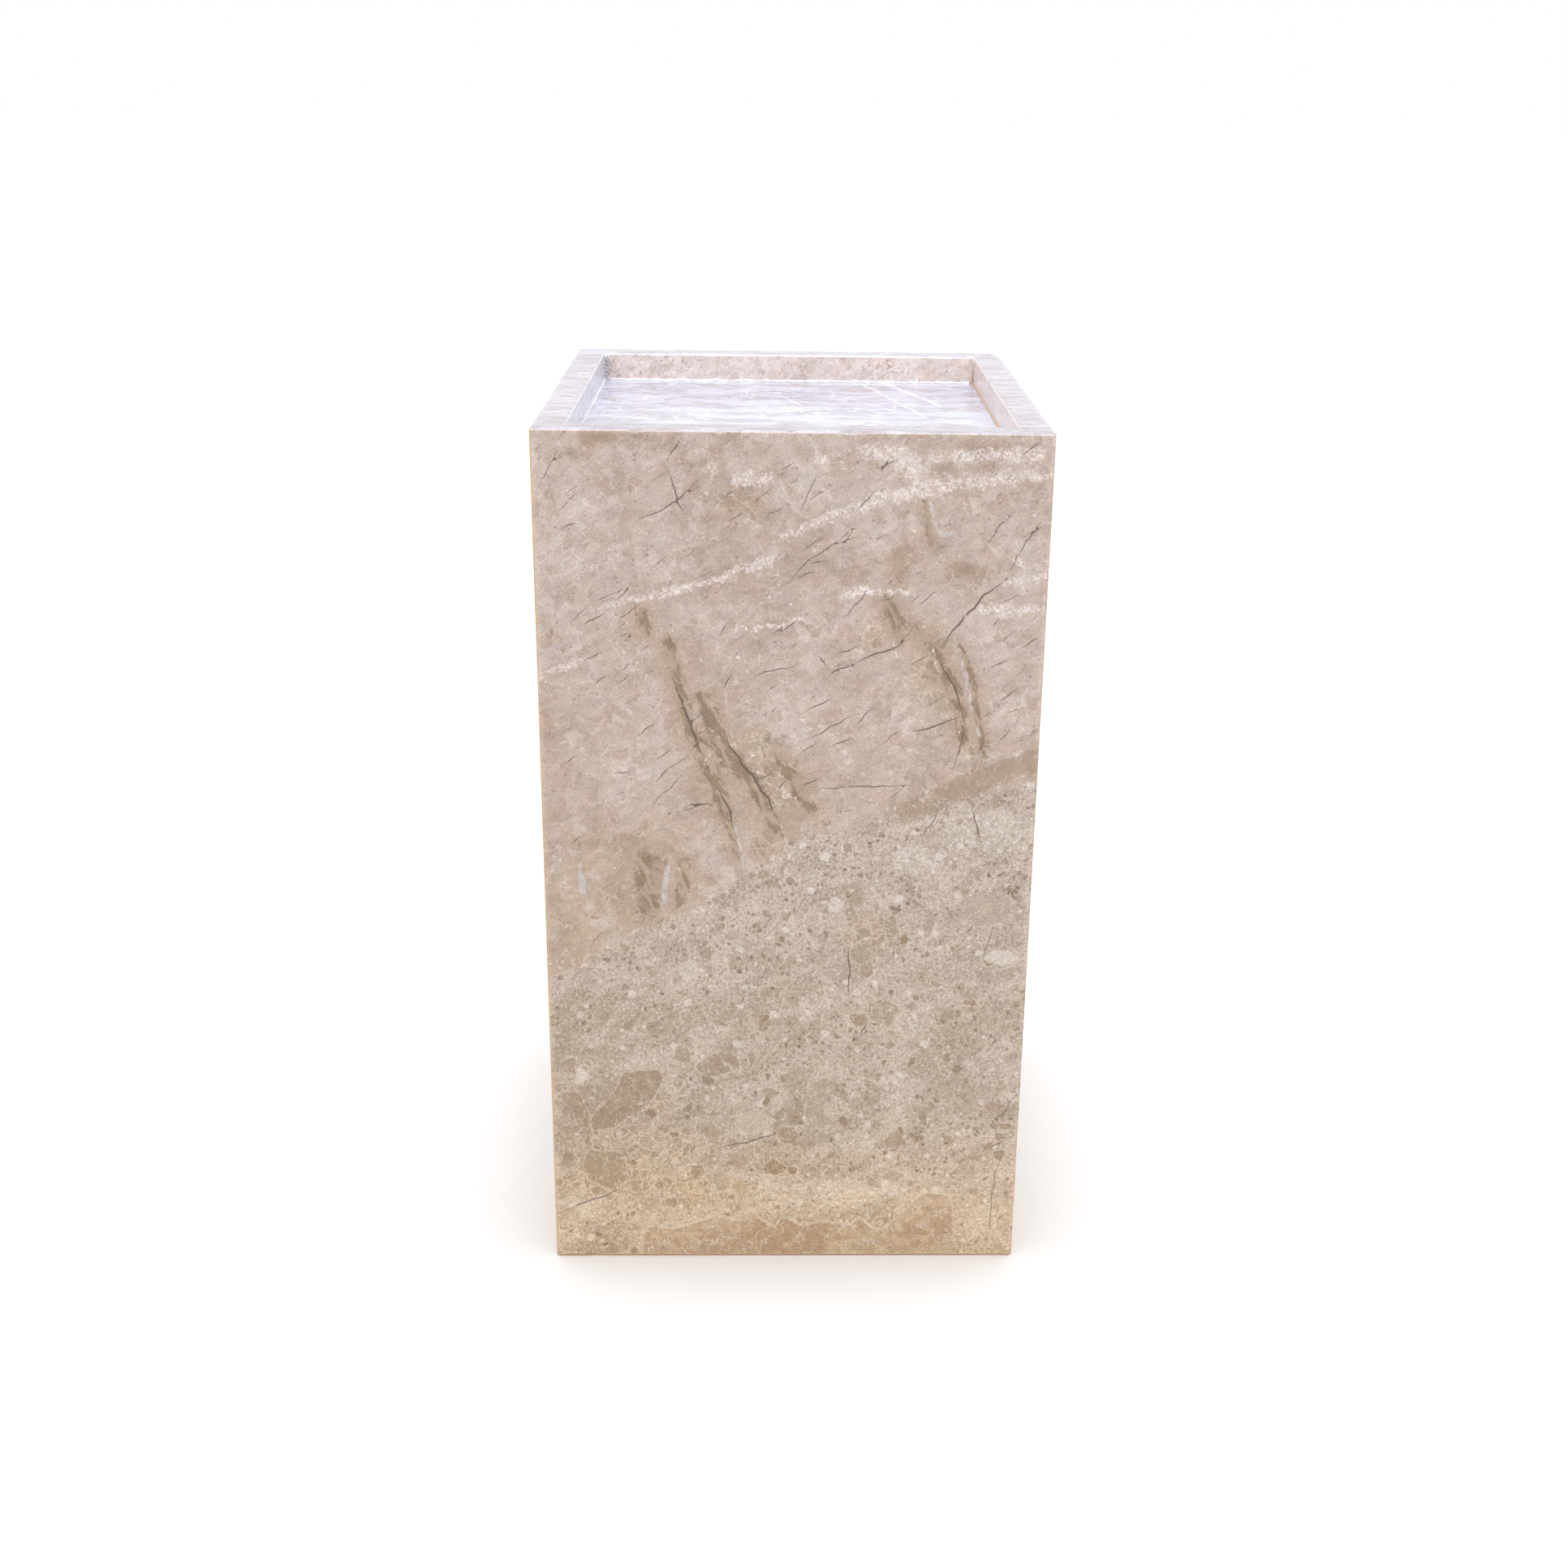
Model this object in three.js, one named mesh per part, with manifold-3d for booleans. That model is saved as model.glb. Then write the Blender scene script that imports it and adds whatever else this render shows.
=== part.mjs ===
// Square marble pedestal: a tall hollow box of four polished slabs, mitred at its upright corners,
// and a fifth slab let in below the rim as a shallow tray. The underside is open.
// Millimetres, +Z up, the front face towards -Y, the origin in the middle of the underside.
import * as THREE from "three";
import { mergeVertices } from "three/addons/utils/BufferGeometryUtils.js";
import Module from "manifold-3d";

const wasm = await Module();
wasm.setup();

// Driving dimensions
const SIDE = 300; // outer side of the square plan
const HEIGHT = 550; // from the ground to the rim
const SLAB = 19; // thickness of every slab, sawn and polished from 20 mm stock
const RECESS = 19; // from the rim down to the tray's surface
const ARRIS = 1.2; // leg of the small chamfer ground along each edge that shows
const JOINT = 0.3; // thickness of the resin joint between two slabs

// The upper back right corner is knocked off. Each facet of the break takes this much
// off the back edge (x), the side edge (y) and the upright edge (z), measured from the sharp corner.
const BREAK_FACETS = [
  { x: 3, y: 30, z: 12 },
  { x: 6, y: 12, z: 9 },
];
const BREAK_CUTTER = 80; // side of the cube that takes each facet off

const HALF = SIDE / 2;
const INNER_HALF = HALF - SLAB;
const QUARTER_TURN = Math.PI / 2;

// A closed geometry as a solid that can be cut.
function toSolid(geometry) {
  const bare = geometry.clone();
  bare.deleteAttribute("normal");
  bare.deleteAttribute("uv");
  const merged = mergeVertices(bare, 1e-4);
  return new wasm.Manifold(
    new wasm.Mesh({
      numProp: 3,
      vertProperties: new Float32Array(merged.attributes.position.array),
      triVerts: new Uint32Array(merged.index.array),
    }),
  );
}

// That solid as a flat-shaded geometry again.
function toGeometry(solid) {
  const mesh = solid.getMesh();
  const shared = new THREE.BufferGeometry();
  shared.setAttribute("position", new THREE.BufferAttribute(mesh.vertProperties, 3));
  shared.setIndex(new THREE.BufferAttribute(mesh.triVerts, 1));
  const faceted = shared.toNonIndexed();
  faceted.computeVertexNormals();
  return faceted;
}

// The right half of the front slab's plan, mirrored to give the whole outline. It runs from the
// outer face round the upright arris, in along the mitre and back along the inner face.
function slabPlan() {
  const setBack = (JOINT / 2) * Math.SQRT2; // the mitre plane is x + y = -setBack
  const outerEnd = new THREE.Vector2(HALF - ARRIS, -HALF);
  const arrisEnd = new THREE.Vector2(HALF - (ARRIS + setBack) / 2, -HALF + (ARRIS - setBack) / 2);
  const innerEnd = new THREE.Vector2(INNER_HALF - setBack, -INNER_HALF);
  const rightHalf = [outerEnd, arrisEnd, innerEnd];
  const leftHalf = rightHalf.map((point) => new THREE.Vector2(-point.x, point.y)).reverse();
  return new THREE.Shape([...rightHalf, ...leftHalf]);
}

// The front slab's upright section, drawn as (y, z). The rim has an arris on both sides,
// and the foot has one on the outside only, where it shows.
function slabSection() {
  return new THREE.Shape([
    new THREE.Vector2(-HALF, ARRIS),
    new THREE.Vector2(-HALF + ARRIS, 0),
    new THREE.Vector2(-INNER_HALF, 0),
    new THREE.Vector2(-INNER_HALF, HEIGHT - ARRIS),
    new THREE.Vector2(-INNER_HALF - ARRIS, HEIGHT),
    new THREE.Vector2(-HALF + ARRIS, HEIGHT),
    new THREE.Vector2(-HALF, HEIGHT - ARRIS),
  ]);
}

// One wall slab, standing where the front one stands: the plan carried up, cut to the section.
function wallSlab() {
  const upright = new THREE.ExtrudeGeometry(slabPlan(), { depth: HEIGHT, bevelEnabled: false });
  const across = new THREE.ExtrudeGeometry(slabSection(), { depth: SIDE, bevelEnabled: false });
  across.translate(0, 0, -HALF);
  const sectionToRoom = new THREE.Matrix4().makeBasis(
    new THREE.Vector3(0, 1, 0),
    new THREE.Vector3(0, 0, 1),
    new THREE.Vector3(1, 0, 0),
  );
  across.applyMatrix4(sectionToRoom);
  return toSolid(upright).intersect(toSolid(across));
}

// A cube whose lower side lies in one facet of the broken corner.
function breakCutter(facet) {
  const outward = new THREE.Vector3(1 / facet.x, 1 / facet.y, 1 / facet.z);
  const depth = 1 / outward.length(); // from the sharp corner in to the facet
  outward.normalize();
  const cutter = new THREE.BoxGeometry(BREAK_CUTTER, BREAK_CUTTER, BREAK_CUTTER);
  cutter.translate(0, 0, BREAK_CUTTER / 2 - depth);
  cutter.applyQuaternion(
    new THREE.Quaternion().setFromUnitVectors(new THREE.Vector3(0, 0, 1), outward),
  );
  cutter.translate(HALF, HALF, HEIGHT);
  return cutter;
}

function stone(colour, roughness) {
  return new THREE.MeshStandardMaterial({ color: colour, roughness, metalness: 0 });
}

const pedestal = new THREE.Group();
pedestal.name = "marble_pedestal";

// The four walls are one slab, turned a quarter each time.
const walls = ["front_slab", "right_slab", "back_slab", "left_slab"];
const brokenWalls = ["right_slab", "back_slab"];
walls.forEach((name, quarter) => {
  const turn = quarter * QUARTER_TURN;
  let slab = wallSlab();
  if (brokenWalls.includes(name)) {
    for (const facet of BREAK_FACETS) {
      slab = slab.subtract(toSolid(breakCutter(facet).rotateZ(-turn)));
    }
  }
  const wall = new THREE.Mesh(toGeometry(slab), stone(0xc8b5a6, 0.22));
  wall.name = name;
  wall.rotation.z = turn;
  pedestal.add(wall);
});

// The tray slab is let in between the walls, its surface a recess below the rim.
const traySide = 2 * (INNER_HALF - JOINT);
const tray = new THREE.Mesh(
  new THREE.BoxGeometry(traySide, traySide, SLAB),
  stone(0xe3dee2, 0.15),
);
tray.name = "tray_slab";
tray.position.z = HEIGHT - RECESS - SLAB / 2;
pedestal.add(tray);

export default pedestal;
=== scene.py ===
# %% [markdown]
# # A marble pedestal, dressed for its portrait
# The pedestal is a tall box of four polished slabs with a fifth let in below the rim as a tray.
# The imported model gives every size, and this lesson adds what a stonemason's eye would look for:
# the veins and clasts of a brecciated marble, small wear along the ground edges, and the resin
# that bonds the slabs. Each wall gets a new mesh, because a mesh can carry the stone's plan as
# vertex attributes. The tray keeps its own mesh and gets a better material.

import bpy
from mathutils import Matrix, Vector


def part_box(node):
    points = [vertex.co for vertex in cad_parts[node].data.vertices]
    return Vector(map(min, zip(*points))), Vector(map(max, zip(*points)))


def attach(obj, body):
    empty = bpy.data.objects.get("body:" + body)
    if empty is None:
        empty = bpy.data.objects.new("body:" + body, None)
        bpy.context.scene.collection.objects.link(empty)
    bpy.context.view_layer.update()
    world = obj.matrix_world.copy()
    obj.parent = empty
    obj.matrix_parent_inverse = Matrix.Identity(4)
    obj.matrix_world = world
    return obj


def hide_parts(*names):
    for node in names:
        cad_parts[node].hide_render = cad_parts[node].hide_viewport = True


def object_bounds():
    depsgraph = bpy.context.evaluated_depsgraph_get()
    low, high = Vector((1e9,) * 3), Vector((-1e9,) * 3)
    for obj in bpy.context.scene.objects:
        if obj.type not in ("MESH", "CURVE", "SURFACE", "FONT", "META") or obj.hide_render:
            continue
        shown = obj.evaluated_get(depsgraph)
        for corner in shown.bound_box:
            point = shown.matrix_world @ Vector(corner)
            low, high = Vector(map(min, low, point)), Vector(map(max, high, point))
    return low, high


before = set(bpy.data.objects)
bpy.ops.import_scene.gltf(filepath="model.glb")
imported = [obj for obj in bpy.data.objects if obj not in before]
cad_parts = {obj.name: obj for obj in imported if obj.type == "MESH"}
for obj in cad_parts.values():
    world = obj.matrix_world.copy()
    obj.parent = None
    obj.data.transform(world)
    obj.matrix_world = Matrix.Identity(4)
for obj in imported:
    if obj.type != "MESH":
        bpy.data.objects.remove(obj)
cad_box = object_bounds()
print("nodes:", sorted(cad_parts))

# %% [markdown]
# ## The driving sizes
# Side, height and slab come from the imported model, so the lesson can't drift away from it. Only
# the arris and the joint are repeated here, because no node's box shows them.

# %% Imports and the sizes read from the frame
import math
from types import SimpleNamespace

import bpy
import numpy as np
from mathutils import Matrix, Vector
from mathutils.geometry import delaunay_2d_cdt

MM = 0.001  # Blender works in metres, the stone's plan in millimetres
front_low, front_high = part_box("front_slab")
SIDE = (cad_box[1].x - cad_box[0].x) / MM
HEIGHT = (cad_box[1].z - cad_box[0].z) / MM
SLAB = (front_high.y - front_low.y) / MM
TRAY_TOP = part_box("tray_slab")[1].z / MM
ARRIS = 1.2  # leg of the small chamfer along each edge that shows, as in the solids
JOINT = 0.3  # width of the resin joint between two slabs, as in the solids
HALF = SIDE / 2
INNER_HALF = HALF - SLAB
print(f"side {SIDE:.1f} mm, height {HEIGHT:.1f} mm, slab {SLAB:.1f} mm, tray at {TRAY_TOP:.1f} mm")

# %% [markdown]
# ## The camera
# The camera comes first, because every later choice is judged through it. It stands a little
# left of the middle and above the rim, and looks down by about nineteen degrees. A turn about Z,
# then a tilt, then a small roll is easier to read than three Euler angles, so the rotation is
# built from those three. The shift stays small, because other views of the object keep it.

# %% Place the camera
CAMERA_PLACE = Vector((-13.1, -1213.7, 755.4)) * MM
TURN_LEFT, LOOK_DOWN, ROLL = math.radians(-1.630), math.radians(18.717), math.radians(0.916)
LENS_MM = 43.41
SENSOR_MM = 36.0
SHIFT = (-0.0228, -0.0600)
NEAREST, FURTHEST = 0.05, 50.0  # metres between which the camera sees


def place_object(name, data):
    """A new object in the scene, at the origin."""
    made = bpy.data.objects.new(name, data)
    bpy.context.scene.collection.objects.link(made)
    return made


camera = place_object("camera", bpy.data.cameras.new("camera"))
bpy.context.scene.camera = camera
camera.data.lens, camera.data.sensor_width = LENS_MM, SENSOR_MM
camera.data.shift_x, camera.data.shift_y = SHIFT
camera.data.clip_start, camera.data.clip_end = NEAREST, FURTHEST
turned = Matrix.Rotation(TURN_LEFT, 4, "Z") @ Matrix.Rotation(math.pi / 2 - LOOK_DOWN, 4, "X")
camera.matrix_world = Matrix.Translation(CAMERA_PLACE) @ turned @ Matrix.Rotation(ROLL, 4, "Z")
print("camera at", tuple(round(v, 3) for v in camera.matrix_world.translation))

# %% [markdown]
# ## Shader maths as plain expressions
# A node graph is hard to read as a list of links. A small class that wraps a socket and overloads
# the operators turns `1 - mask` into a Math node, so a material reads like the sum that it is.

# %% Wire: a value inside a shader
class Wire:
    """One output socket. Arithmetic on it adds Math nodes to its graph."""

    def __init__(self, graph, socket):
        self.graph, self.socket = graph, socket

    def maths(self, operation, *numbers):
        settings = {"operation": operation}
        return self.graph.node("ShaderNodeMath", settings, dict(enumerate(numbers)))

    def __add__(self, other):
        return self.maths("ADD", self, other)

    def __radd__(self, other):
        return self.maths("ADD", other, self)

    def __sub__(self, other):
        return self.maths("SUBTRACT", self, other)

    def __rsub__(self, other):
        return self.maths("SUBTRACT", other, self)

    def __mul__(self, other):
        return self.maths("MULTIPLY", self, other)

    def __rmul__(self, other):
        return self.maths("MULTIPLY", other, self)

    def over(self, other):
        """The larger of the two."""
        return self.maths("MAXIMUM", self, other)

    def off(self, level):
        """How far the value is from a level, whichever side it is on."""
        return self.maths("ABSOLUTE", self - level)


def linear(red, green, blue):
    """A colour given as display values from 0 to 255, as the linear colour a shader wants."""
    def channel(value):
        value /= 255
        return value / 12.92 if value <= 0.04045 else ((value + 0.055) / 1.055) ** 2.4
    return (channel(red), channel(green), channel(blue), 1.0)


# %% [markdown]
# Shader trees and geometry trees take their nodes in the same way, so one method serves both. It
# adds any node, sets its options, and joins or fills each input.

# %% Nodes: any node of any tree
class Nodes:
    """A node tree with one method that adds any node and joins it up."""

    def node(self, kind, settings=None, inputs=None, output=0):
        made = self.tree.nodes.new(kind)
        for key, value in (settings or {}).items():
            setattr(made, key, value)
        for key, value in (inputs or {}).items():
            if isinstance(value, Wire):
                self.tree.links.new(value.socket, made.inputs[key])
            else:
                made.inputs[key].default_value = value
        return Wire(self, made.outputs[output])


# %% [markdown]
# A material in this lesson is a stack of colours, each laid on by a mask. A mask compares noise or
# a vertex attribute with two levels. These short forms leave room to read the stone itself.

# %% Graph: a material under construction
class Graph(Nodes):
    """A material's tree, with short forms for the nodes that it needs most."""

    def __init__(self, name):
        self.material = bpy.data.materials.new(name)
        self.material.use_nodes = True
        self.tree = self.material.node_tree
        self.tree.nodes.clear()

    def place(self, offset=(0, 0, 0)):
        """Object coordinates in millimetres; an offset cuts a slab from elsewhere in the stone."""
        metres = self.node("ShaderNodeTexCoord", output="Object")
        settings, inputs = {"vector_type": "POINT"}, {"Location": offset, "Scale": (1 / MM,) * 3}
        return self.node("ShaderNodeMapping", settings, {**inputs, "Vector": metres})

    def noise(self, where, size, detail=2.0, roughness=0.5, output="Fac"):
        """Soft noise whose lumps are about size millimetres across, from 0 to 1."""
        inputs = {"Vector": where, "Scale": 1 / size, "Detail": detail, "Roughness": roughness}
        return self.node("ShaderNodeTexNoise", {}, inputs, output)

    def flow(self, where, long, short, rise):
        """Coordinates stretched along a direction that rises to the right by rise degrees."""
        inputs = {"Vector": where, "Rotation": (0, math.radians(-rise), 0), "Scale": (long, short, short)}
        return self.node("ShaderNodeMapping", {"vector_type": "TEXTURE"}, inputs)

    def streaks(self, where, long, short, rise, **rest):
        """Noise drawn out into streaks that rise to the right by rise degrees."""
        return self.noise(self.flow(where, long, short, rise), 1.0, **rest)

    def threads(self, noise, edge, core, level=0.5):
        """Thin wandering lines, where noise passes a level: 1 on a line, 0 away from it."""
        return self.step(noise.off(level), edge, core)

    def cells(self, where, size):
        """Cells about size millimetres across: the distance to the middle, and three chances."""
        distance = self.node("ShaderNodeTexVoronoi", {}, {"Vector": where, "Scale": 1 / size})
        chances = Wire(self, distance.socket.node.outputs["Color"])
        return distance, self.parts(chances)

    def walls(self, where, size):
        """How far a place is from the wall between two cells, as a share of a cell."""
        settings, inputs = {"feature": "DISTANCE_TO_EDGE"}, {"Vector": where, "Scale": 1 / size}
        return self.node("ShaderNodeTexVoronoi", settings, inputs)

    def flecks(self, cells, share, radius, ragged=0, turn=0):
        """Spots in a share of the cells: 1 inside a spot, and a chance for its tone.

        Another turn of the three chances gives spots in other cells of the same net.
        """
        distance, chances = cells
        picked, scale, tone = chances[turn:] + chances[:turn]
        room = (0.35 + 0.65 * scale) * radius - distance - ragged
        return self.step(room, 0.0, 0.07) * self.step(picked, share, share - 0.01), tone

    def bend(self, where, size, reach):
        """The place moved about by noise, which makes straight cell walls wander."""
        wander = self.noise(where, size, detail=1.0, output="Color")
        centred = self.node("ShaderNodeVectorMath", {"operation": "SUBTRACT"}, {0: wander, 1: (0.5,) * 3})
        return self.node("ShaderNodeVectorMath", {"operation": "MULTIPLY_ADD"},
                         {0: centred, 1: (2 * reach,) * 3, 2: where})

    def step(self, value, low, high):
        """0 below low and 1 above high, smooth between; low may be the larger of the two."""
        if low > high:
            return 1 - self.step(value, high, low)
        settings = {"interpolation_type": "SMOOTHSTEP"}
        inputs = {"Value": value, "From Min": low, "From Max": high}
        return self.node("ShaderNodeMapRange", settings, inputs)

    def mix(self, under, over, amount, blend="MIX"):
        """Colour over laid on colour under, by an amount from 0 to 1."""
        settings = {"data_type": "RGBA", "blend_type": blend}
        return self.node("ShaderNodeMix", settings, {0: amount, 6: under, 7: over}, 2)

    def layers(self, colour, *coats):
        """Coat upon coat: each is a colour, as display values or as a wire, and its amount."""
        for over, amount in coats:
            over = linear(*over) if isinstance(over, tuple) else over
            colour = self.mix(colour, over, amount)
        return colour

    def tint(self, colour, glass, amount):
        """A colour seen through coloured glass, by an amount from 0 to 1."""
        return self.mix(colour, glass, amount, "MULTIPLY")

    def shade(self, colour, amount):
        """A colour made lighter or darker: the amount multiplies it."""
        grey = self.node("ShaderNodeCombineXYZ", {}, {0: amount, 1: amount, 2: amount})
        return self.tint(colour, grey, 1.0)

    def parts(self, vector):
        """The three numbers of a vector or a colour."""
        split = self.tree.nodes.new("ShaderNodeSeparateXYZ")
        self.tree.links.new(vector.socket, split.inputs[0])
        return [Wire(self, socket) for socket in split.outputs]

    def attribute(self, name):
        """The three numbers of a vector that the mesh carries at each vertex."""
        return self.parts(self.node("ShaderNodeAttribute", {"attribute_name": name}, {}, "Vector"))

    def finish(self, colour, roughness, height=None, height_reach=0.1, strength=0.5, **fixed):
        """Joins it all up in one shader. Height is in units of height_reach millimetres."""
        inputs = {"Base Color": colour, "Roughness": roughness, **fixed}
        if height is not None:
            settings = {"Height": height, "Distance": height_reach * MM, "Strength": strength}
            inputs["Normal"] = self.node("ShaderNodeBump", {}, settings)
        shader = self.node("ShaderNodeBsdfPrincipled", {}, inputs)
        surface = self.tree.nodes.new("ShaderNodeOutputMaterial").inputs["Surface"]
        self.tree.links.new(shader.socket, surface)
        print(f"{self.material.name}: {len(self.tree.nodes)} nodes")
        return self.material


# %% [markdown]
# ## The stone's plan
# Brecciated marble is broken rock healed with fine sediment and calcite. On the front slab it
# shows as a smooth, cloudy bed above, a granular breccia below a slanting border, and a tan clast
# along the foot, crossed by pale veins, steep brown ones and many hairlines. Noise alone puts such
# things anywhere, so the large ones are laid out one by one, as a mason would sketch them: places are
# millimetres from the slab's left edge and down from the rim. Noise then does all the small work.

# %% A line on the stone, and the front slab's large features
def line(half_width, *points):
    return {"half_width": half_width, "points": np.array(points, float)}


PALE_VEINS = [line(*item) for item in (
    ((0.8, 2.0, 2.4, 1.6, 2.4, 4.0), (27, 109), (52, 101), (85, 94), (108, 87), (125, 80),
     (146, 72)),
    ((1.5, 2.6, 3.4, 4.0, 3.4, 4.5), (132, 65), (152, 59), (180, 46), (218, 34), (250, 28), (300, 24)),
    ((3.0, 5.0, 6.0), (186, 10), (205, 12), (224, 24)),
    ((2.2, 3.0, 4.0), (224, 16), (260, 12), (298, 13)),
    ((2.5, 3.6, 2.5), (114, 29), (126, 29), (138, 27)),
    ((2.5, 1.5), (161, 13), (171, 19)),
    ((1.0, 2.6, 1.4, 1.0), (175, 98), (190, 95), (214, 94), (223, 98)),
    ((0.7, 1.3, 0.9, 1.4), (112, 115), (128, 118), (143, 115), (164, 109)),
    ((1.2, 3.4, 2.6, 2.0), (256, 106), (270, 104), (285, 106), (299, 103)),
    ((1.0, 2.4, 1.6), (271, 90), (284, 87), (299, 82)),
    ((0.6, 1.6, 0.8), (272, 71), (283, 76), (289, 82)),
    ((0.8, 2.0, 0.8), (2, 146), (15, 143), (32, 136)),
)]
PALE_THREADS = [line(0.45, *points) for points in (
    ((118, 195), (135, 211), (145, 234), (146, 250)), ((126, 205), (145, 220), (165, 238)),
    ((121, 201), (143, 189), (168, 177)), ((111, 159), (113, 176), (118, 193)),
    ((135, 213), (148, 222), (161, 228)), ((141, 201), (146, 216), (146, 230)),
    ((98, 179), (118, 193), (145, 201)), ((84, 207), (94, 202), (104, 195)),
    ((237, 140), (242, 159), (253, 187)), ((221, 101), (234, 129), (237, 144)),
    ((208, 123), (216, 138), (224, 151)), ((219, 151), (227, 154), (235, 153)),
    ((60, 270), (56, 284), (46, 296)), ((74, 262), (84, 276), (82, 290)),
    ((30, 440), (60, 432), (82, 440)), ((26, 462), (50, 456), (84, 470), (104, 466)),
    ((50, 476), (72, 486), (96, 478)), ((60, 440), (66, 458), (58, 474)),
    ((84, 445), (88, 460), (80, 478)),
)]
BROWN_VEINS = [line(*item) for item in (
    ((2.0, 3.4, 2.2), (59, 100), (62, 112), (66, 122)),
    ((3.2, 3.4, 3.0, 3.4, 3.6, 4.4, 3.6, 2.4, 2.0), (76, 118), (79, 136), (82, 150), (87, 168),
     (92, 186), (98, 200), (105, 214), (110, 228), (115, 245), (120, 272)),
    ((2.6, 3.6, 2.4), (96, 158), (101, 170), (104, 182)),
    ((1.4, 2.2, 1.6), (92, 186), (100, 192), (108, 189)),
    ((1.2, 2.0, 1.2), (98, 202), (108, 204), (118, 201)),
    ((3.0, 5.0, 4.6, 3.8, 4.0), (98, 161), (105, 179), (112, 195), (122, 208), (134, 226), (146, 250)),
    ((1.0, 1.8, 0.9), (86, 170), (96, 160), (110, 160)),
    ((2.4, 4.2, 2.4), (140, 195), (153, 215), (165, 236)),
    ((2.4, 1.6), (211, 73), (213, 90)),
    ((1.2, 1.8, 2.6), (225, 36), (229, 54), (233, 70)),
    ((3.0, 4.2, 2.4), (205, 95), (211, 112), (215, 126)),
    ((2.6, 4.2, 4.2, 3.4, 2.2), (219, 112), (234, 134), (246, 152), (252, 172), (254, 192)),
    ((1.4, 1.8, 1.4), (247, 122), (258, 150), (267, 197)),
    ((7.0, 8.0, 5.0), (64, 264), (66, 284), (60, 300)),
    ((3.0, 4.0, 2.0), (86, 264), (86, 282), (78, 300)),
)]
GREY_CORES = [line(*item) for item in (
    ((0.5, 1.0, 0.8, 0.8), (115, 234), (117, 243), (121, 262), (123, 276)),
    ((0.8, 1.5, 1.6, 0.7), (77, 260), (75, 275), (73, 292), (72, 306)),
    ((0.6, 1.1, 0.9, 0.8), (246, 120), (252, 140), (260, 172), (267, 197)),
    ((0.8, 1.3, 1.0, 2.2), (227, 34), (231, 48), (236, 60), (246, 57)),
    ((1.4, 2.0), (22, 268), (24, 292)),
)]
HAIRLINES = [line(*item) for item in (
    (0.30, (58, 54), (72, 48), (84, 41), (97, 27)),
    (0.34, (78, 23), (84, 41), (88, 51)),
    (0.22, (153, 49), (158, 37), (165, 23)),
    (0.26, (145, 93), (160, 75), (175, 65), (184, 56)),
    (0.20, (5, 33), (15, 15)),
    (0.30, (264, 66), (270, 54), (278, 44)),
    (0.26, (275, 85), (288, 60), (295, 50)),
    (0.28, (280, 14), (291, 4)),
    (0.24, (178, 114), (190, 99), (200, 85)),
    (0.26, (108, 122), (112, 114)),
    (0.26, (224, 103), (234, 94)),
    (0.55, (238, 130), (243, 121), (252, 109), (263, 96), (276, 86)),
    (0.40, (187, 139), (197, 134), (210, 130), (220, 123)),
    (0.40, (172, 146), (180, 141), (187, 139)),
    (0.40, (166, 134), (171, 140)),
    (0.36, (160, 168), (175, 160)),
    (0.28, (157, 188), (168, 183), (180, 175), (190, 170)),
    (0.42, (220, 181), (230, 180), (241, 176), (251, 171)),
    (0.30, (250, 172), (254, 183), (248, 208)),
    (0.32, (162, 217), (180, 217), (202, 217), (224, 216)),
    (0.30, (125, 149), (135, 144), (155, 140)),
    (0.30, (275, 161), (286, 153)),
    (0.30, (269, 141), (278, 135)),
    (0.34, (260, 228), (264, 242), (268, 256)),
    (0.24, (243, 226), (236, 242), (230, 253)),
    (0.42, (106, 469), (125, 464), (147, 456)),
    (0.34, (187, 322), (189, 342), (188, 361)),
    (0.34, (201, 376), (196, 387)),
    (0.30, (295, 431), (289, 446)),
    (0.20, (291, 466), (287, 487), (285, 508), (284, 546)),
    (0.20, (278, 307), (275, 320), (271, 333)),
    (0.36, (4, 517), (15, 511), (32, 504), (47, 497)),
    (0.26, (70, 200), (79, 193)),
    (0.45, (88, 230), (95, 229), (103, 229)),
    (0.30, (45, 209), (53, 208)),
    (0.24, (66, 231), (75, 221), (87, 209)),
    ((0.4, 0.7, 0.6, 0.3), (80, 146), (84, 160), (90, 176), (95, 192), (100, 204)),
    ((0.3, 0.6, 0.7, 0.4), (108, 176), (114, 192), (125, 207), (136, 224), (145, 244)),
    ((0.3, 0.6, 0.4), (106, 216), (113, 232), (117, 246)),
    ((0.3, 0.5, 0.3), (236, 134), (247, 152), (253, 172)),
)]
BRECCIA_BORDER = np.array([(0, 346), (27, 334), (45, 320), (57, 311), (75, 306), (95, 296), (110, 287),
                           (125, 274), (145, 254), (185, 246), (220, 230), (262, 222), (300, 212)], float)
BAND_TOP = np.array([(196, 240), (206, 233), (215, 229), (240, 217), (262, 206), (280, 199),
                     (304, 190)], float)
# The tan clast alone is measured up from the foot.
TAN_TOP = np.array([(54, -8), (60, 22), (75, 20), (87, 23), (105, 30), (112, 28), (120, 26),
                    (124, 33), (130, 34), (133, 27), (143, 21), (149, 30), (155, 25), (163, 22),
                    (175, 26), (190, 22), (200, 28), (208, 19), (217, 21), (223, 30), (232, 37),
                    (235, 44), (244, 48), (259, 45), (260, 35), (261, 0), (262, -8)], float)
print(len(PALE_VEINS), "pale veins,", len(BROWN_VEINS), "brown veins,", len(HAIRLINES), "hairlines")

# %% [markdown]
# The large clasts are single broken stones, so each is a corner-by-corner outline, as a mason would
# trace it. Around them the rock turns browner, cracked or gritty without an edge, which a soft
# round patch gives with five numbers.

# %% The large clasts: tone from brown (0) to white (1), and the corners
def outline(tone, *points):
    return {"tone": tone, "points": np.array(points, float)}


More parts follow.
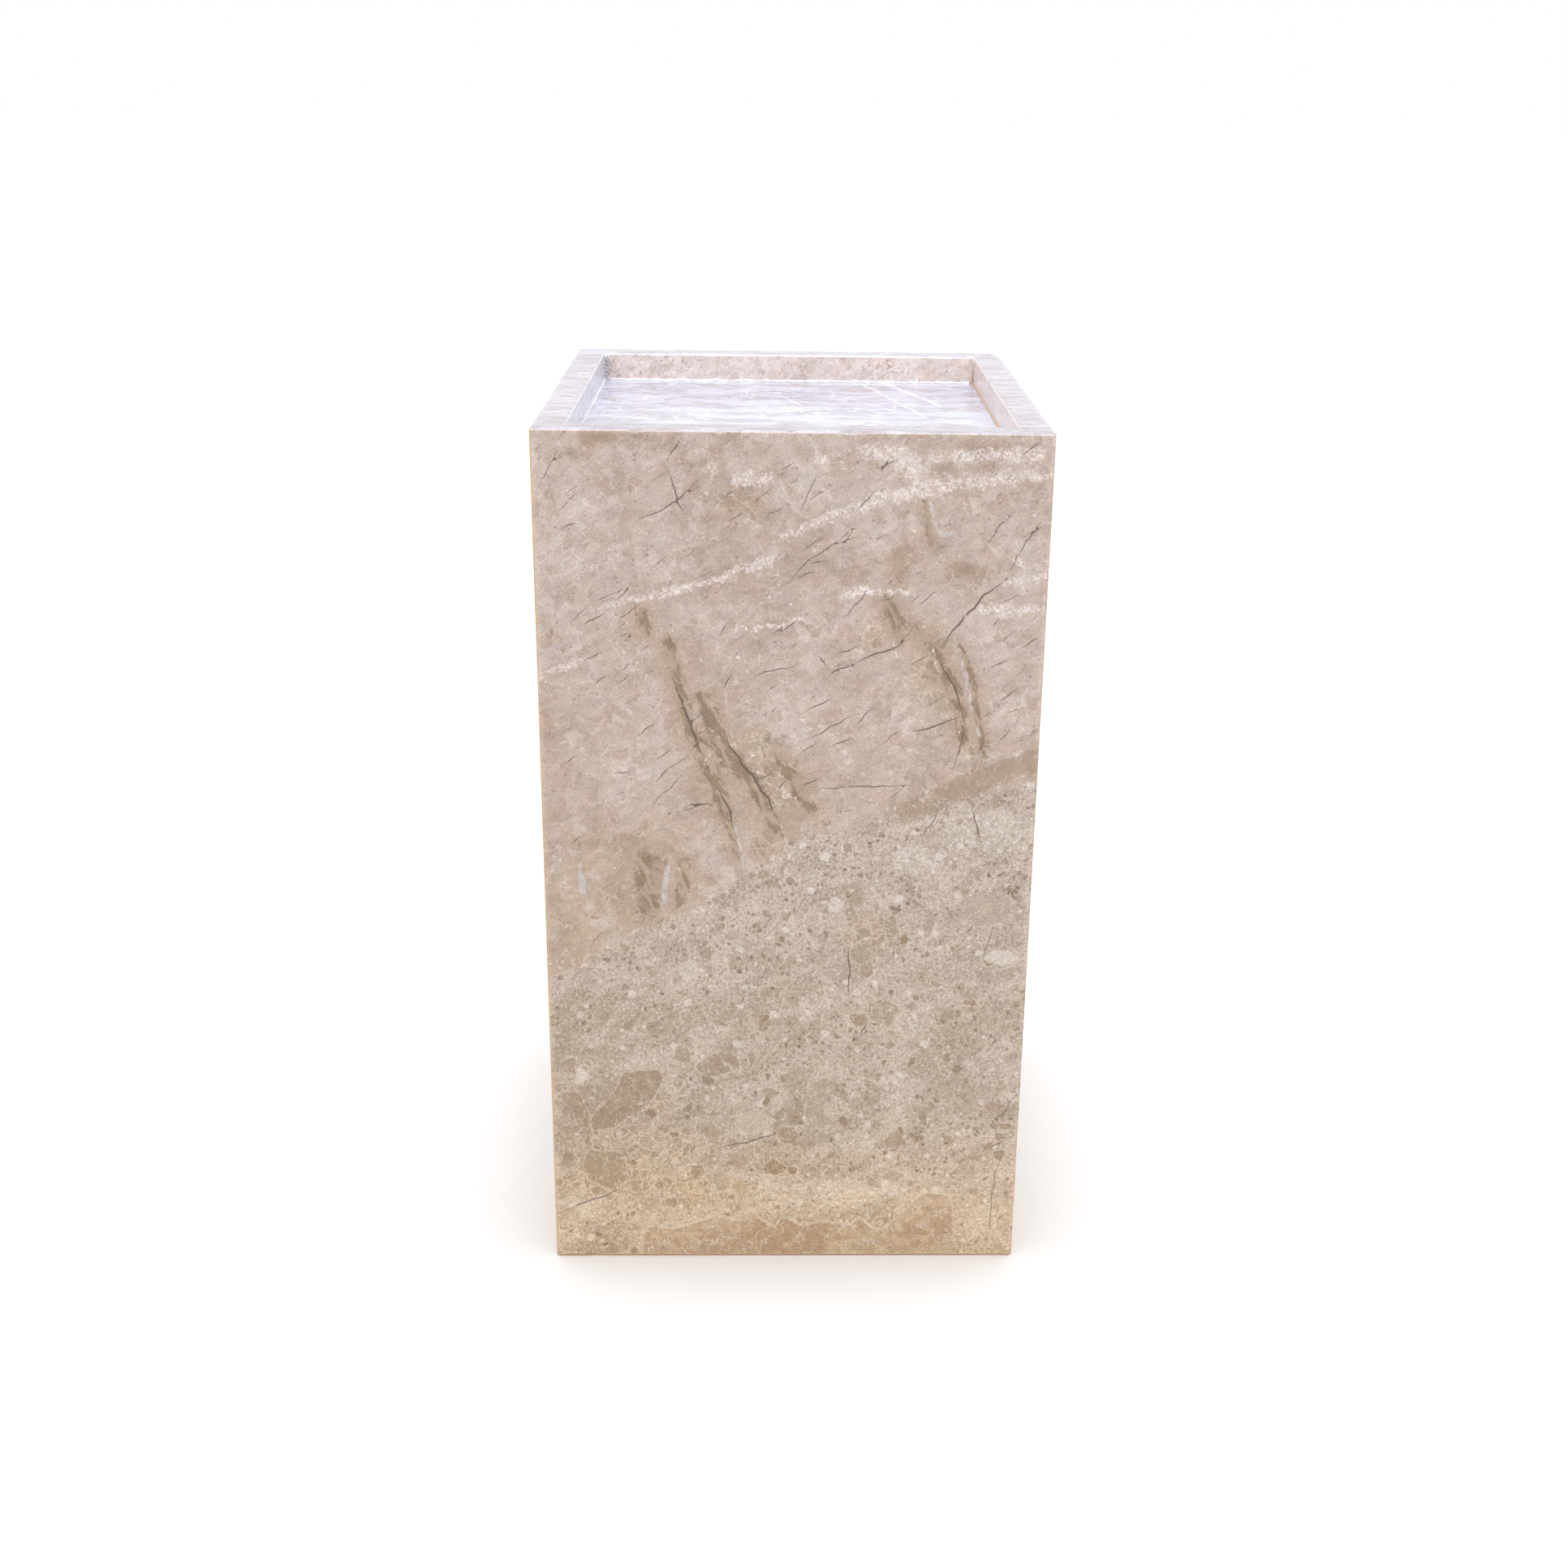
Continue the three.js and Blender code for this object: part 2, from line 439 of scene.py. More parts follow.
def lump(rng, x, drop, half_x, half_z, turn, tone):
    """An outline with a few uneven corners round a middle."""
    count = int(rng.integers(5, 9))
    angles = (np.arange(count) + rng.uniform(-0.3, 0.3, count)) * math.tau / count
    reach, turn = rng.uniform(0.8, 1.15, count), math.radians(turn)
    along, across = half_x * reach * np.cos(angles), half_z * reach * np.sin(angles)
    places_x = x + along * math.cos(turn) - across * math.sin(turn)
    places_drop = drop - along * math.sin(turn) - across * math.cos(turn)
    return outline(tone, *zip(places_x, places_drop))


CLASTS = [outline(*item) for item in (
    (0.12, (46, 413), (69, 411), (71, 418), (66, 430), (61, 438), (48, 446), (40, 453), (25, 456),
     (26, 445), (38, 430), (44, 420)),
    (0.20, (6, 426), (14, 428), (19, 438), (21, 452), (17, 455), (14, 442), (6, 432)),
    (0.05, (11, 428), (17, 426), (24, 445), (24, 455), (21, 452), (19, 438)),
    (0.20, (-2, 460), (10, 450), (18, 455), (12, 462), (-2, 466)),
    (0.20, (90, 409), (98, 403), (107, 398), (118, 401), (120, 410), (107, 415), (100, 416)),
    (0.55, (118, 442), (128, 436), (138, 446), (136, 455), (125, 458), (118, 452)),
    (0.15, (144, 454), (155, 452), (159, 461), (152, 466), (145, 462)),
    (0.35, (164, 422), (172, 417), (184, 419), (175, 428), (170, 438), (180, 449),
     (172, 455), (162, 446)),
    (0.05, (135, 482), (142, 476), (150, 482), (148, 488), (138, 488)),
    (0.0, (151, 482), (158, 482), (158, 488), (152, 488)),
    (0.35, (99, 491), (107, 485), (115, 490), (114, 500), (104, 501)),
    (0.05, (71, 509), (76, 504), (80, 509), (78, 514), (72, 512)),
    (0.10, (88, 482), (96, 481), (98, 489), (91, 491), (88, 487)),
    (0.0, (112, 505), (116, 502), (119, 505), (116, 508)),
    (0.15, (22, 470), (45, 472), (48, 490), (38, 500), (22, 492), (19, 480)),
    (0.90, (272, 331), (278, 326), (288, 327), (293, 332), (285, 336), (275, 335)),
    (0.05, (270, 330), (279, 336), (275, 338)),
    (0.40, (255, 292), (270, 285), (288, 290), (288, 300), (280, 308), (265, 310), (252, 302)),
    (0.25, (189, 325), (195, 321), (206, 325), (204, 331), (195, 336), (189, 332)),
    (0.15, (196, 336), (202, 335), (204, 342), (199, 346), (195, 342)),
    (0.20, (191, 312), (200, 311), (202, 317), (194, 320)),
    (0.20, (209, 305), (216, 302), (219, 315), (212, 319)),
    (0.05, (220, 316), (225, 315), (224, 322), (220, 322)),
    (0.15, (186, 371), (200, 371), (200, 377), (195, 381)),
    (0.25, (204, 367), (212, 361), (221, 366), (220, 374), (214, 380), (204, 376)),
    (0.95, (174, 294), (180, 292), (184, 295), (182, 300), (175, 300)),
    (0.0, (109, 307), (111, 307), (110, 313), (108, 313)),
    (0.05, (132, 372), (139, 371), (139, 377), (132, 377)),
    (0.20, (131, 379), (140, 378), (137, 385), (132, 382)),
    (0.25, (78, 397), (88, 395), (89, 405), (80, 406)),
    (0.15, (125, 399), (131, 398), (130, 407), (126, 407)),
    (0.10, (184, 287), (188, 285), (190, 289), (186, 292)),
    (0.10, (261, 361), (269, 361), (269, 366), (261, 364)),
    (0.40, (138, 350), (150, 345), (155, 347), (150, 352), (140, 352)),
    (0.15, (281, 449), (296, 450), (296, 455), (282, 454)),
    (0.35, (281, 420), (291, 417), (292, 425), (282, 426)),
    (0.35, (210, 490), (220, 485), (230, 487), (220, 495)),
    (0.95, (17, 410), (24, 411), (21, 421), (15, 423)),
    (0.10, (145, 299), (152, 300), (150, 307), (146, 306)),
    (0.75, (82, 336), (93, 334), (94, 345), (86, 348), (82, 342)),
)]
# Soft patches: middle, half sizes, strength. The stone turns browner, cracked, or white and gritty.
BROWN_PATCHES = [
    (120, 41, 15, 9, 0.9), (40, 5, 14, 6, 0.9), (76, 10, 11, 6, 0.7), (136, 48, 9, 6, 0.7),
    (214, 73, 11, 9, 0.8), (186, 85, 14, 9, 0.6), (102, 51, 9, 6, 0.7), (150, 75, 9, 6, 0.5),
    (252, 82, 16, 7, 0.9), (118, 82, 12, 5, 0.5),
    (35, 235, 16, 16, 0.5), (28, 252, 16, 12, 0.6), (50, 256, 18, 12, 0.7), (136, 258, 12, 10, 0.9),
    (150, 218, 12, 14, 0.9), (107, 207, 8, 12, 0.6), (141, 192, 9, 10, 0.7), (60, 300, 15, 11, 1.0),
    (47, 286, 13, 15, 0.8), (15, 315, 15, 9, 0.6), (197, 312, 12, 10, 0.8), (212, 312, 10, 12, 0.6),
    (15, 437, 10, 16, 0.9), (28, 478, 24, 18, 0.9), (46, 468, 16, 12, 0.7), (76, 448, 17, 10, 0.6),
    (206, 112, 6, 18, 0.6), (238, 140, 9, 24, 0.7), (262, 205, 9, 12, 0.6), (70, 5, 20, 6, 0.6),
    (20, 15, 14, 7, 0.6), (268, 60, 12, 10, 0.4), (200, 20, 14, 6, 0.5), (90, 120, 10, 12, 0.5),
    (284, 440, 12, 8, 0.7), (120, 480, 12, 10, 0.6), (143, 482, 14, 6, 0.8),
    (126, 208, 14, 16, 0.5), (240, 160, 14, 20, 0.5), (84, 160, 8, 26, 0.5), (28, 446, 44, 34, 0.7),
    (60, 380, 50, 12, 0.4), (12, 390, 14, 40, 0.5), (262, 8, 34, 6, 0.6), (286, 30, 14, 9, 0.5),
    (238, 20, 8, 6, 0.8), (262, 20, 7, 5, 0.7), (150, 232, 12, 14, 0.6), (96, 214, 9, 14, 0.6),
    (103, 172, 9, 12, 0.8), (226, 118, 13, 10, 0.6), (238, 130, 9, 10, 0.7), (112, 262, 10, 10, 0.6),
]
CRACKED_PATCHES = [
    (60, 433, 28, 10, 0.8), (55, 466, 50, 16, 1.0), (45, 492, 48, 16, 1.0), (100, 500, 34, 12, 0.9),
    (140, 470, 30, 12, 0.5), (140, 214, 16, 22, 1.0), (130, 190, 10, 16, 0.8), (104, 190, 10, 22, 0.7),
    (232, 140, 16, 26, 0.8), (262, 190, 12, 14, 0.6), (60, 292, 18, 18, 0.9), (200, 316, 18, 16, 0.8),
    (135, 255, 14, 12, 0.8), (200, 120, 14, 18, 0.5), (120, 45, 14, 10, 0.5), (70, 130, 22, 14, 0.5),
]
GRITTY_PATCHES = [
    (226, 15, 46, 9, 0.6), (272, 22, 34, 9, 0.4), (221, 20, 8, 12, 0.8), (270, 246, 30, 14, 1.0),
    (226, 266, 20, 12, 0.9), (205, 286, 15, 8, 0.9), (90, 342, 9, 8, 1.0), (160, 370, 7, 8, 1.0),
    (230, 378, 14, 16, 1.0), (176, 357, 6, 34, 0.6), (222, 430, 18, 20, 0.9), (192, 466, 12, 10, 1.0),
    (107, 515, 12, 6, 0.9), (284, 518, 14, 26, 0.9), (24, 511, 18, 14, 0.7), (285, 400, 18, 40, 0.6),
    (60, 335, 20, 8, 0.7), (146, 303, 26, 9, 0.5), (128, 452, 50, 10, 0.5), (166, 20, 7, 5, 0.9),
    (172, 504, 62, 14, 1.0), (215, 500, 24, 8, 0.7), (60, 522, 30, 8, 0.6), (240, 330, 40, 40, 0.4),
    (222, 172, 22, 26, 0.55), (204, 156, 14, 14, 0.4), (60, 185, 16, 30, 0.25), (125, 165, 16, 14, 0.3),
]
print(len(CLASTS), "large clasts,", len(BROWN_PATCHES + CRACKED_PATCHES + GRITTY_PATCHES), "patches")

# %% [markdown]
# ## Lines that wander
# A listed line has a few straight runs. Real veins wander, so each line is walked in short
# steps and pushed sideways by smooth noise, and its width tapers off at both ends.

# %% Walk a line in short steps
from mathutils import noise as smooth_noise

STEP = 2.0  # millimetres between two points of a walked line
WAVE, RIPPLE = 9, 3.1  # how long the wide and the narrow bends of a walk are, in millimetres
APART = 7.3  # sets the noise of one line apart from the next
THINNEST = 0.12  # the share of its width that a line keeps at its ends
FAR = 20.0  # what a mesh carries where no vein is near


def walk(item, seed, wander, taper):
    """Adds to a line its trail of points, a step apart, and the half width at each."""
    corners = item["points"]
    lengths = np.hypot(*np.diff(corners, axis=0).T)
    along = np.concatenate([[0], np.cumsum(lengths)])
    count = max(3, int(along[-1] / STEP) + 1)
    stations = np.linspace(0, along[-1], count)
    trail = np.stack([np.interp(stations, along, corners[:, axis]) for axis in (0, 1)], 1)
    heading = np.gradient(trail, axis=0)
    sideways = np.stack([-heading[:, 1], heading[:, 0]], 1) / np.hypot(*heading.T)[:, None]
    waves = [smooth_noise.noise(Vector((s / WAVE, seed * APART, 0))) for s in stations]
    ripples = [smooth_noise.noise(Vector((s / RIPPLE, seed * APART, 5))) for s in stations]
    push = np.array(waves) + 0.5 * np.array(ripples)
    widths = np.atleast_1d(item["half_width"])
    widths = np.interp(stations, np.linspace(0, along[-1], len(widths)), widths)
    part = stations / along[-1]
    widths = widths * np.maximum(THINNEST, np.minimum(1, np.minimum(part, 1 - part) / taper))
    return {"trail": trail + sideways * wander * push[:, None], "widths": widths}


def relative_distance(places, walked, reach=FAR):
    """How far each place is from the nearest line, counted in half widths of that line."""
    best = np.full(len(places), FAR)
    for item in walked:
        trail, widths = item["trail"], item["widths"]
        near = np.all((places > trail.min(0) - reach) & (places < trail.max(0) + reach), axis=1)
        if not near.any():
            continue
        start, run = trail[:-1], np.diff(trail, axis=0)
        offset = places[near][:, None] - start
        share = np.clip((offset * run).sum(2) / (run * run).sum(1), 0, 1)
        gap = np.linalg.norm(offset - share[..., None] * run, axis=2)
        width = widths[:-1] + share * np.diff(widths)
        best[near] = np.minimum(best[near], (gap / width).min(1))
    return best


# %% [markdown]
# An area needs more than a distance: the sign says which side of the edge a place is on. A border
# compares heights. An outline counts how many of its edges lie to one side, and an odd number
# means inside.

# %% Signed distances of the areas: granular breccia, tan clast, single clasts
def border_depth(places, border):
    """Millimetres below a border that runs from left to right, measured square to its slope."""
    drop = np.interp(places[:, 0], border[:, 0], border[:, 1])
    slope = np.gradient(np.interp(np.arange(0, SIDE + 1), border[:, 0], border[:, 1]))
    slope = np.interp(places[:, 0], np.arange(0, SIDE + 1), slope)
    return (places[:, 1] - drop) / np.sqrt(1 + slope * slope)


def clast_fields(places, clasts):
    """Signed distance to the nearest clast, negative inside, and that clast's tone."""
    nearest, tone = np.full(len(places), FAR), np.zeros(len(places))
    for clast in clasts:
        start = clast["points"]
        run = np.roll(start, -1, axis=0) - start + 1e-6
        near = np.all((places > start.min(0) - FAR) & (places < start.max(0) + FAR), axis=1).nonzero()[0]
        offset = places[near][:, None] - start
        share = offset[..., 1] / run[:, 1]
        beside = (share >= 0) & (share < 1) & (offset[..., 0] < share * run[:, 0])
        share = np.clip((offset * run).sum(2) / (run * run).sum(1), 0, 1)
        gap = np.linalg.norm(offset - share[..., None] * run, axis=2).min(1)
        gap = np.where(beside.sum(1) % 2 == 1, -gap, gap)  # an odd number of edges to one side: inside
        near, gap = near[gap < nearest[near]], gap[gap < nearest[near]]
        nearest[near], tone[near] = gap, clast["tone"]
    return nearest, tone


BAND_RUN_IN = 30  # millimetres over which the brown band comes in from its left end
BAND_EDGE, BAND_FADE = 1.2, 8  # how soft its upper and lower edges are
BAND_THIN, BAND_WIDENS = 6, 12  # its thickness at the left end, and what it gains on the way


def patch_strength(places, patches, band=None):
    """How strongly the strongest of some soft round patches shows at each place, from 0 to 1."""
    best = np.zeros(len(places))
    if band is not None:  # a band that starts sharply at its upper edge and fades below
        below = border_depth(places, band)
        ends = np.clip((places[:, 0] - band[0, 0]) / BAND_RUN_IN, 0, 1)
        above_foot = BAND_THIN + BAND_WIDENS * ends - below
        best = ends * np.clip(below / BAND_EDGE + 0.5, 0, 1) * np.clip(above_foot / BAND_FADE, 0, 1)
    for x, drop, half_x, half_z, strength in patches:
        away = ((places[:, 0] - x) / half_x) ** 2 + ((places[:, 1] - drop) / half_z) ** 2
        best = np.maximum(best, strength * np.exp(-0.9 * away))
    return best


# %% [markdown]
# ## A wall slab as a mesh
# The polished face is a net of small triangles that follows every hairline, so that a line can be
# thinner than the net and stay sharp. Blender's constrained Delaunay triangulation does that.
# Behind the face, the slab is a stack of closed rings: the arris, the rim, the inner face. Each
# ring has the same number of points, so a strip of quads joins it to the next. Small nicks in the
# arrises come from moving the first two rings, and the mitres stay flat.

# %% The rings that run round a slab
EDGE_STEP = 2.5  # millimetres between the points of a ring
MITRE_GAP = JOINT / 2 * math.sqrt(2)
RING_DEPTHS = (0.0, ARRIS, 4.0, 8.0, 13.0, SLAB - ARRIS, SLAB)
ACROSS = np.linspace(-1, 1, int(SIDE / EDGE_STEP) + 1)
UPWARDS = np.linspace(0, 1, int(HEIGHT / EDGE_STEP) + 1)
NICK_INWARDS = 0.7  # how far a nick moves the second ring, as a share of its depth


def ring(depth, nick):
    """One closed ring at a depth below the polished face: points (across, depth, up)."""
    first, last = depth == 0, depth == SLAB
    foot = ARRIS if first else 0
    top = HEIGHT - ARRIS if first or last else HEIGHT
    half = HALF - ARRIS if first else HALF - depth - MITRE_GAP
    if first:
        side_half, side_depth, side_foot, side_top = half, 0, foot, top
    elif depth == ARRIS:
        side_half, side_depth = HALF - (ARRIS + MITRE_GAP) / 2, (ARRIS - MITRE_GAP) / 2
        side_foot, side_top = (ARRIS + MITRE_GAP) / 2, HEIGHT - (ARRIS + MITRE_GAP) / 2
    else:
        side_half, side_depth = half, depth
        side_foot, side_top = (0, top) if last else (ARRIS / 2, HEIGHT - ARRIS / 2)
    rise = side_foot + (side_top - side_foot) * UPWARDS
    flat = np.ones_like
    rows = [
        (ACROSS * half, flat(ACROSS) * depth, flat(ACROSS) * foot, (0, NICK_INWARDS, 1)),
        (flat(rise) * side_half, flat(rise) * side_depth, rise, (-1, 0, 0)),
        (-ACROSS * half, flat(ACROSS) * depth, flat(ACROSS) * top, (0, NICK_INWARDS, -1)),
        (-flat(rise) * side_half, flat(rise) * side_depth, rise[::-1], (1, 0, 0)),
    ]
    points, begin = [], 0
    for across, inwards, up, away in rows:
        depth_of_nick = nick[begin:begin + len(across)]
        begin += len(across)
        moves = np.array(away) * ((1, 0, 1) if first else (0, depth == ARRIS, 0))
        points.append(np.stack([across, inwards, up], 1) + depth_of_nick[:, None] * moves)
    return np.concatenate(points)


RING_POINTS = 2 * (len(ACROSS) + len(UPWARDS))
GROUND_EDGE = 0.06  # millimetres by which the grinding left every arris uneven


def nicks(rng, count, deepest):
    """How deep the arris is nicked at each point of a ring: mostly hardly, in a few spots more."""
    total = RING_POINTS
    depth = GROUND_EDGE * rng.random(total)
    for _ in range(count):
        middle, reach = rng.integers(4, total - 4), rng.uniform(0.8, 2.2)
        spread = np.exp(-(((np.arange(total) - middle) / reach) ** 2))
        depth = np.maximum(depth, spread * deepest * rng.uniform(0.3, 1.0))
    for corner in (0, len(ACROSS), len(ACROSS) + len(UPWARDS), total - len(UPWARDS)):
        depth[[corner - 1, corner]] = 0  # the corners themselves stay where the slabs meet
    return depth


print(len(RING_DEPTHS), "rings of", RING_POINTS, "points")

# %% [markdown]
# A flat face gets loose points on a shaken grid. Round each hairline the loose points give way to
# the line's own points and a row on either side, so the line's distance is exact where it counts.

# %% Triangulate a flat face inside its ring
EDGE_CLEAR = 2.4  # no loose point comes nearer the edge of a face, in millimetres
BESIDE_LINE = 0.9  # from a hairline to the row of points on either side
LOOSE_CLEAR, ROW_CLEAR = 1.8, 0.7  # from a hairline to a loose point, and to another line's row
LOOK_AROUND = 4.0  # a point further than this from a hairline's own box can't be too near it


def net(outline, trails, spacing, rng):
    """Triangles inside an outline that follow the trails: points, triangles, outline's numbers."""
    low, high = outline.min(0) + EDGE_CLEAR, outline.max(0) - EDGE_CLEAR
    counts = np.maximum(2, ((high - low) / spacing).astype(int))
    grid = np.stack(np.meshgrid(*[np.linspace(low[a], high[a], counts[a]) for a in (0, 1)]), -1)
    loose = grid.reshape(-1, 2) + rng.uniform(-0.3, 0.3, (counts[0] * counts[1], 2)) * spacing
    loose = np.clip(loose, low, high)
    kept_trails, beside = [], []
    for trail in trails:
        inside = np.all((trail > low) & (trail < high), axis=1)
        if inside.sum() < 2:
            continue
        trail = trail[inside]
        heading = np.gradient(trail, axis=0)
        sideways = np.stack([-heading[:, 1], heading[:, 0]], 1) / np.hypot(*heading.T)[:, None]
        kept_trails.append(trail)
        beside += [trail + BESIDE_LINE * sideways, trail - BESIDE_LINE * sideways]
    if kept_trails:
        walked = [{"trail": trail, "widths": np.ones(len(trail))} for trail in kept_trails]
        loose = loose[relative_distance(loose, walked, LOOK_AROUND) > LOOSE_CLEAR]
        beside = np.concatenate(beside)
        beside = beside[relative_distance(beside, walked, LOOK_AROUND) > ROW_CLEAR]
        beside = beside[np.all((beside > low) & (beside < high), axis=1)]
    else:
        beside = np.zeros((0, 2))
    points, edges = list(map(tuple, outline)), []
    edges += [(i, (i + 1) % len(outline)) for i in range(len(outline))]
    for trail in kept_trails:
        start = len(points)
        points += list(map(tuple, trail))
        edges += [(start + i, start + i + 1) for i in range(len(trail) - 1)]
    points += list(map(tuple, beside)) + list(map(tuple, loose))
    made = delaunay_2d_cdt([Vector(p) for p in points], edges, [], 1, 1e-5)
    renumber = {}
    for number, sources in enumerate(made[3]):
        for source in sources:
            renumber[source] = number
    rim_numbers = [renumber[i] for i in range(len(outline))]
    return np.array([tuple(v) for v in made[0]]), made[2], rim_numbers


# %% [markdown]
# ## The knocked corner
# The upper back right corner is missing in the outline: about 6 mm of the back edge and 30 mm of
# the side edge. The solids have it as two flat facets. Here the points beyond a facet are pushed
# back onto it and a little further by noise, which gives the rough face of broken stone.

# %% Push a slab's points back onto the break
BREAK_FACETS = ((3, 30, 12), (6, 12, 9))  # taken off along x, y and z, in millimetres
BREAK_ROUGHNESS, BREAK_GRAIN = 0.5, 2.2  # how deep the rough surface is, and its lumps
ON_FACET = 0.02  # points nearer the facet than this stay


def break_corner(points):
    """Moves the points of a slab, in millimetres, that lie beyond the break; says which moved."""
    broken = np.zeros(len(points), bool)
    for facet in BREAK_FACETS:
        outward = 1 / np.array(facet, float)
        reach = 1 / np.linalg.norm(outward)
        outward *= reach
        beyond = (points - np.array([HALF, HALF, HEIGHT])) @ outward + reach
        hit = beyond > ON_FACET
        broken |= hit
        for i in np.nonzero(hit)[0]:
            rough = 0.5 + 0.5 * smooth_noise.fractal(Vector(points[i] / BREAK_GRAIN), 1.0, 2.0, 3)
            points[i] -= outward * (beyond[i] + BREAK_ROUGHNESS * abs(rough))
    return broken


# %% [markdown]
# ## What the mesh tells the material
# Each vertex carries five vectors. `veins` has the distances to hairlines, pale veins and brown
# veins; `ground` has the depth into the breccia and the tan clast and the distance to a grey core;
# `clast` has the distance to the nearest clast, its tone, and a mark on the inner face, which gets
# painted light; `patch` has the strength of the brown, cracked and gritty patches; the last vector
# marks the rim, the broken corner and the arris, where the material lays a painted sky reflection,
# broken stone, and a painted highlight and warm reflection. The material only has to compare them
# with a little noise.

# %% Write the plan onto a mesh
SAFE = -30.0  # a depth that is well outside an area
ON_FACE, ON_RIM = 0.01, 0.05  # how near a vertex is that lies on the inner face or on the rim


def plan_values(places, plan):
    """The three stone vectors at places given as (from the left edge, down from the rim)."""
    gap, tone = clast_fields(places, plan["clasts"])
    tan_height = np.interp(places[:, 0], plan["tan_top"][:, 0], plan["tan_top"][:, 1], -8, -8)
    veins = [relative_distance(places, plan[kind]) for kind in ("hairlines", "pale", "brown")]
    ground = [border_depth(places, plan["border"]), tan_height - (HEIGHT - places[:, 1]),
              relative_distance(places, plan["cores"])]
    patches = [patch_strength(places, plan["brown_patches"], plan["band"]),
               patch_strength(places, plan["cracked"]), patch_strength(places, plan["gritty"])]
    return {"veins": np.stack(veins, 1), "ground": np.stack(ground, 1),
            "clast": np.stack([gap, tone, np.zeros(len(places))], 1), "patch": np.stack(patches, 1)}


NEUTRAL = {"veins": (FAR, FAR, FAR), "ground": (SAFE, SAFE, FAR), "clast": (FAR, 0, 0), "patch": (0, 0, 0)}


def carried_values(local, plan, broken, arris_numbers):
    """What each vertex of a slab tells the material, as five vectors."""
    values = plan_values(np.stack([local[:, 0] + HALF, HEIGHT - local[:, 2]], 1), plan)
    inner = local[:, 1] > SLAB - ON_FACE
    for key, neutral in NEUTRAL.items():
        values[key][inner] = neutral
    values["clast"][:, 2] = inner
    on_rim = (local[:, 2] > HEIGHT - ON_RIM) & (local[:, 1] > ARRIS / 2)
    on_arris = np.zeros(len(local), bool)
    on_arris[arris_numbers] = True
    # Rim, break and arris: the material paints a sky reflection on the rim, and a highlight and a warm
    # reflection on the arris.
    values["rim_break_arris"] = np.stack([on_rim, broken, on_arris], 1).astype(float)
    return values


print("the material reads", ", ".join(NEUTRAL), "and wear")

# %% [markdown]
# ## The slab itself
# The skin is put together upright, with the polished face towards the front: first the netted
# face, then ring after ring, then the inner face. Later it is moved out from the middle and turned by
# quarters to its side of the box. All four walls share this, so a change to the joint changes them all.

# %% Join the face, the rings and the inner face
NICK_COUNT, DEEPEST_NICK = 14, 1.1  # on each slab, and how deep in millimetres
INNER_SPACING = 14.0  # the plain inner face needs few points


def flat_face(points, depth, trails, spacing, rng):
    """A netted face in a ring: its points, its triangles, and the numbers of the ring's points."""
    keep = np.linalg.norm(points - np.roll(points, 1, axis=0), axis=1) > 1e-6  # not the doubles
    order = (np.cumsum(keep) - 1) % keep.sum()
    flat, triangles, rim_numbers = net(points[keep][:, [0, 2]], trails, spacing, rng)
    solid = np.stack([flat[:, 0], np.full(len(flat), depth), flat[:, 1]], 1)
    return solid, triangles, np.array(rim_numbers)[order]


def slab_skin(plan, spacing, rng):
    """A closed skin: its points (across, depth, up), its faces, and the numbers on the arris."""
    nick = nicks(rng, NICK_COUNT, DEEPEST_NICK)
    rings = [ring(depth, nick) for depth in RING_DEPTHS]
    trails = [walked["trail"] * (1, -1) + (-HALF, HEIGHT) for walked in plan["hairlines"]]
    points, triangles, rim_numbers = flat_face(rings[0], 0, trails, spacing, rng)
    stack, numbers = [points], [rim_numbers]
    faces = [tuple(triangle) for triangle in triangles]
    begin = len(points)
    for points in rings[1:-1]:
        stack.append(points)
        numbers.append(np.arange(begin, begin + RING_POINTS))
        begin += RING_POINTS
    points, triangles, rim_numbers = flat_face(rings[-1], SLAB, [], INNER_SPACING, rng)
    stack.append(points)
    numbers.append(rim_numbers + begin)
    faces += [tuple(begin + corner for corner in reversed(triangle)) for triangle in triangles]
    for outer, inner in zip(numbers, numbers[1:]):
        for i in range(RING_POINTS):
            j = (i + 1) % RING_POINTS
            corners = [outer[j], outer[i], inner[i], inner[j]]
            corners = [c for k, c in enumerate(corners) if c != corners[k - 1]]
            if len(corners) > 2:
                faces.append(tuple(corners))
    return np.concatenate(stack), faces, np.concatenate(numbers[:2])


# %% [markdown]
# A slab is made from its own plan and its own seed, so no two have the same nicks. The count of
# open edges is printed, since 0 says that the skin is closed all round.

# %% Stand a slab on its side of the box
def open_edge_count(mesh):
    """Edges that don't have exactly two faces: 0 on a closed mesh."""
    uses = np.zeros(len(mesh.edges), int)
    for loop in mesh.loops:
        uses[loop.edge_index] += 1
    return int((uses != 2).sum())


def wall_slab(name, quarter, plan, spacing, seed):
    """A mitred slab, standing on one side of the box, with its plan on its vertices."""
    local, faces, arris_numbers = slab_skin(plan, spacing, np.random.default_rng(seed))
    standing = local - (0, HALF, 0)
    for _ in range(quarter):
        standing = np.stack([-standing[:, 1], standing[:, 0], standing[:, 2]], 1)
    broken = break_corner(standing)
    mesh = bpy.data.meshes.new(name)
    mesh.from_pydata([Vector(p) * MM for p in standing], [], faces)
    for key, vectors in carried_values(local, plan, broken, arris_numbers).items():
        layer = mesh.attributes.new(key, "FLOAT_VECTOR", "POINT")
        layer.data.foreach_set("vector", vectors.astype(np.float32).ravel())
    mesh.validate()
    print(f"{name}: {len(mesh.polygons)} faces, {open_edge_count(mesh)} open edges")
    return place_object(name, mesh)


# %% [markdown]
# ## Plans for the other slabs
# The hidden sides are cut from the same stone, so the breccia border carries on round each corner.
# Their veins are strewn by chance from a fixed seed, with the slants that the front slab has, and
# there are fewer of them, because nothing shows how they really run.

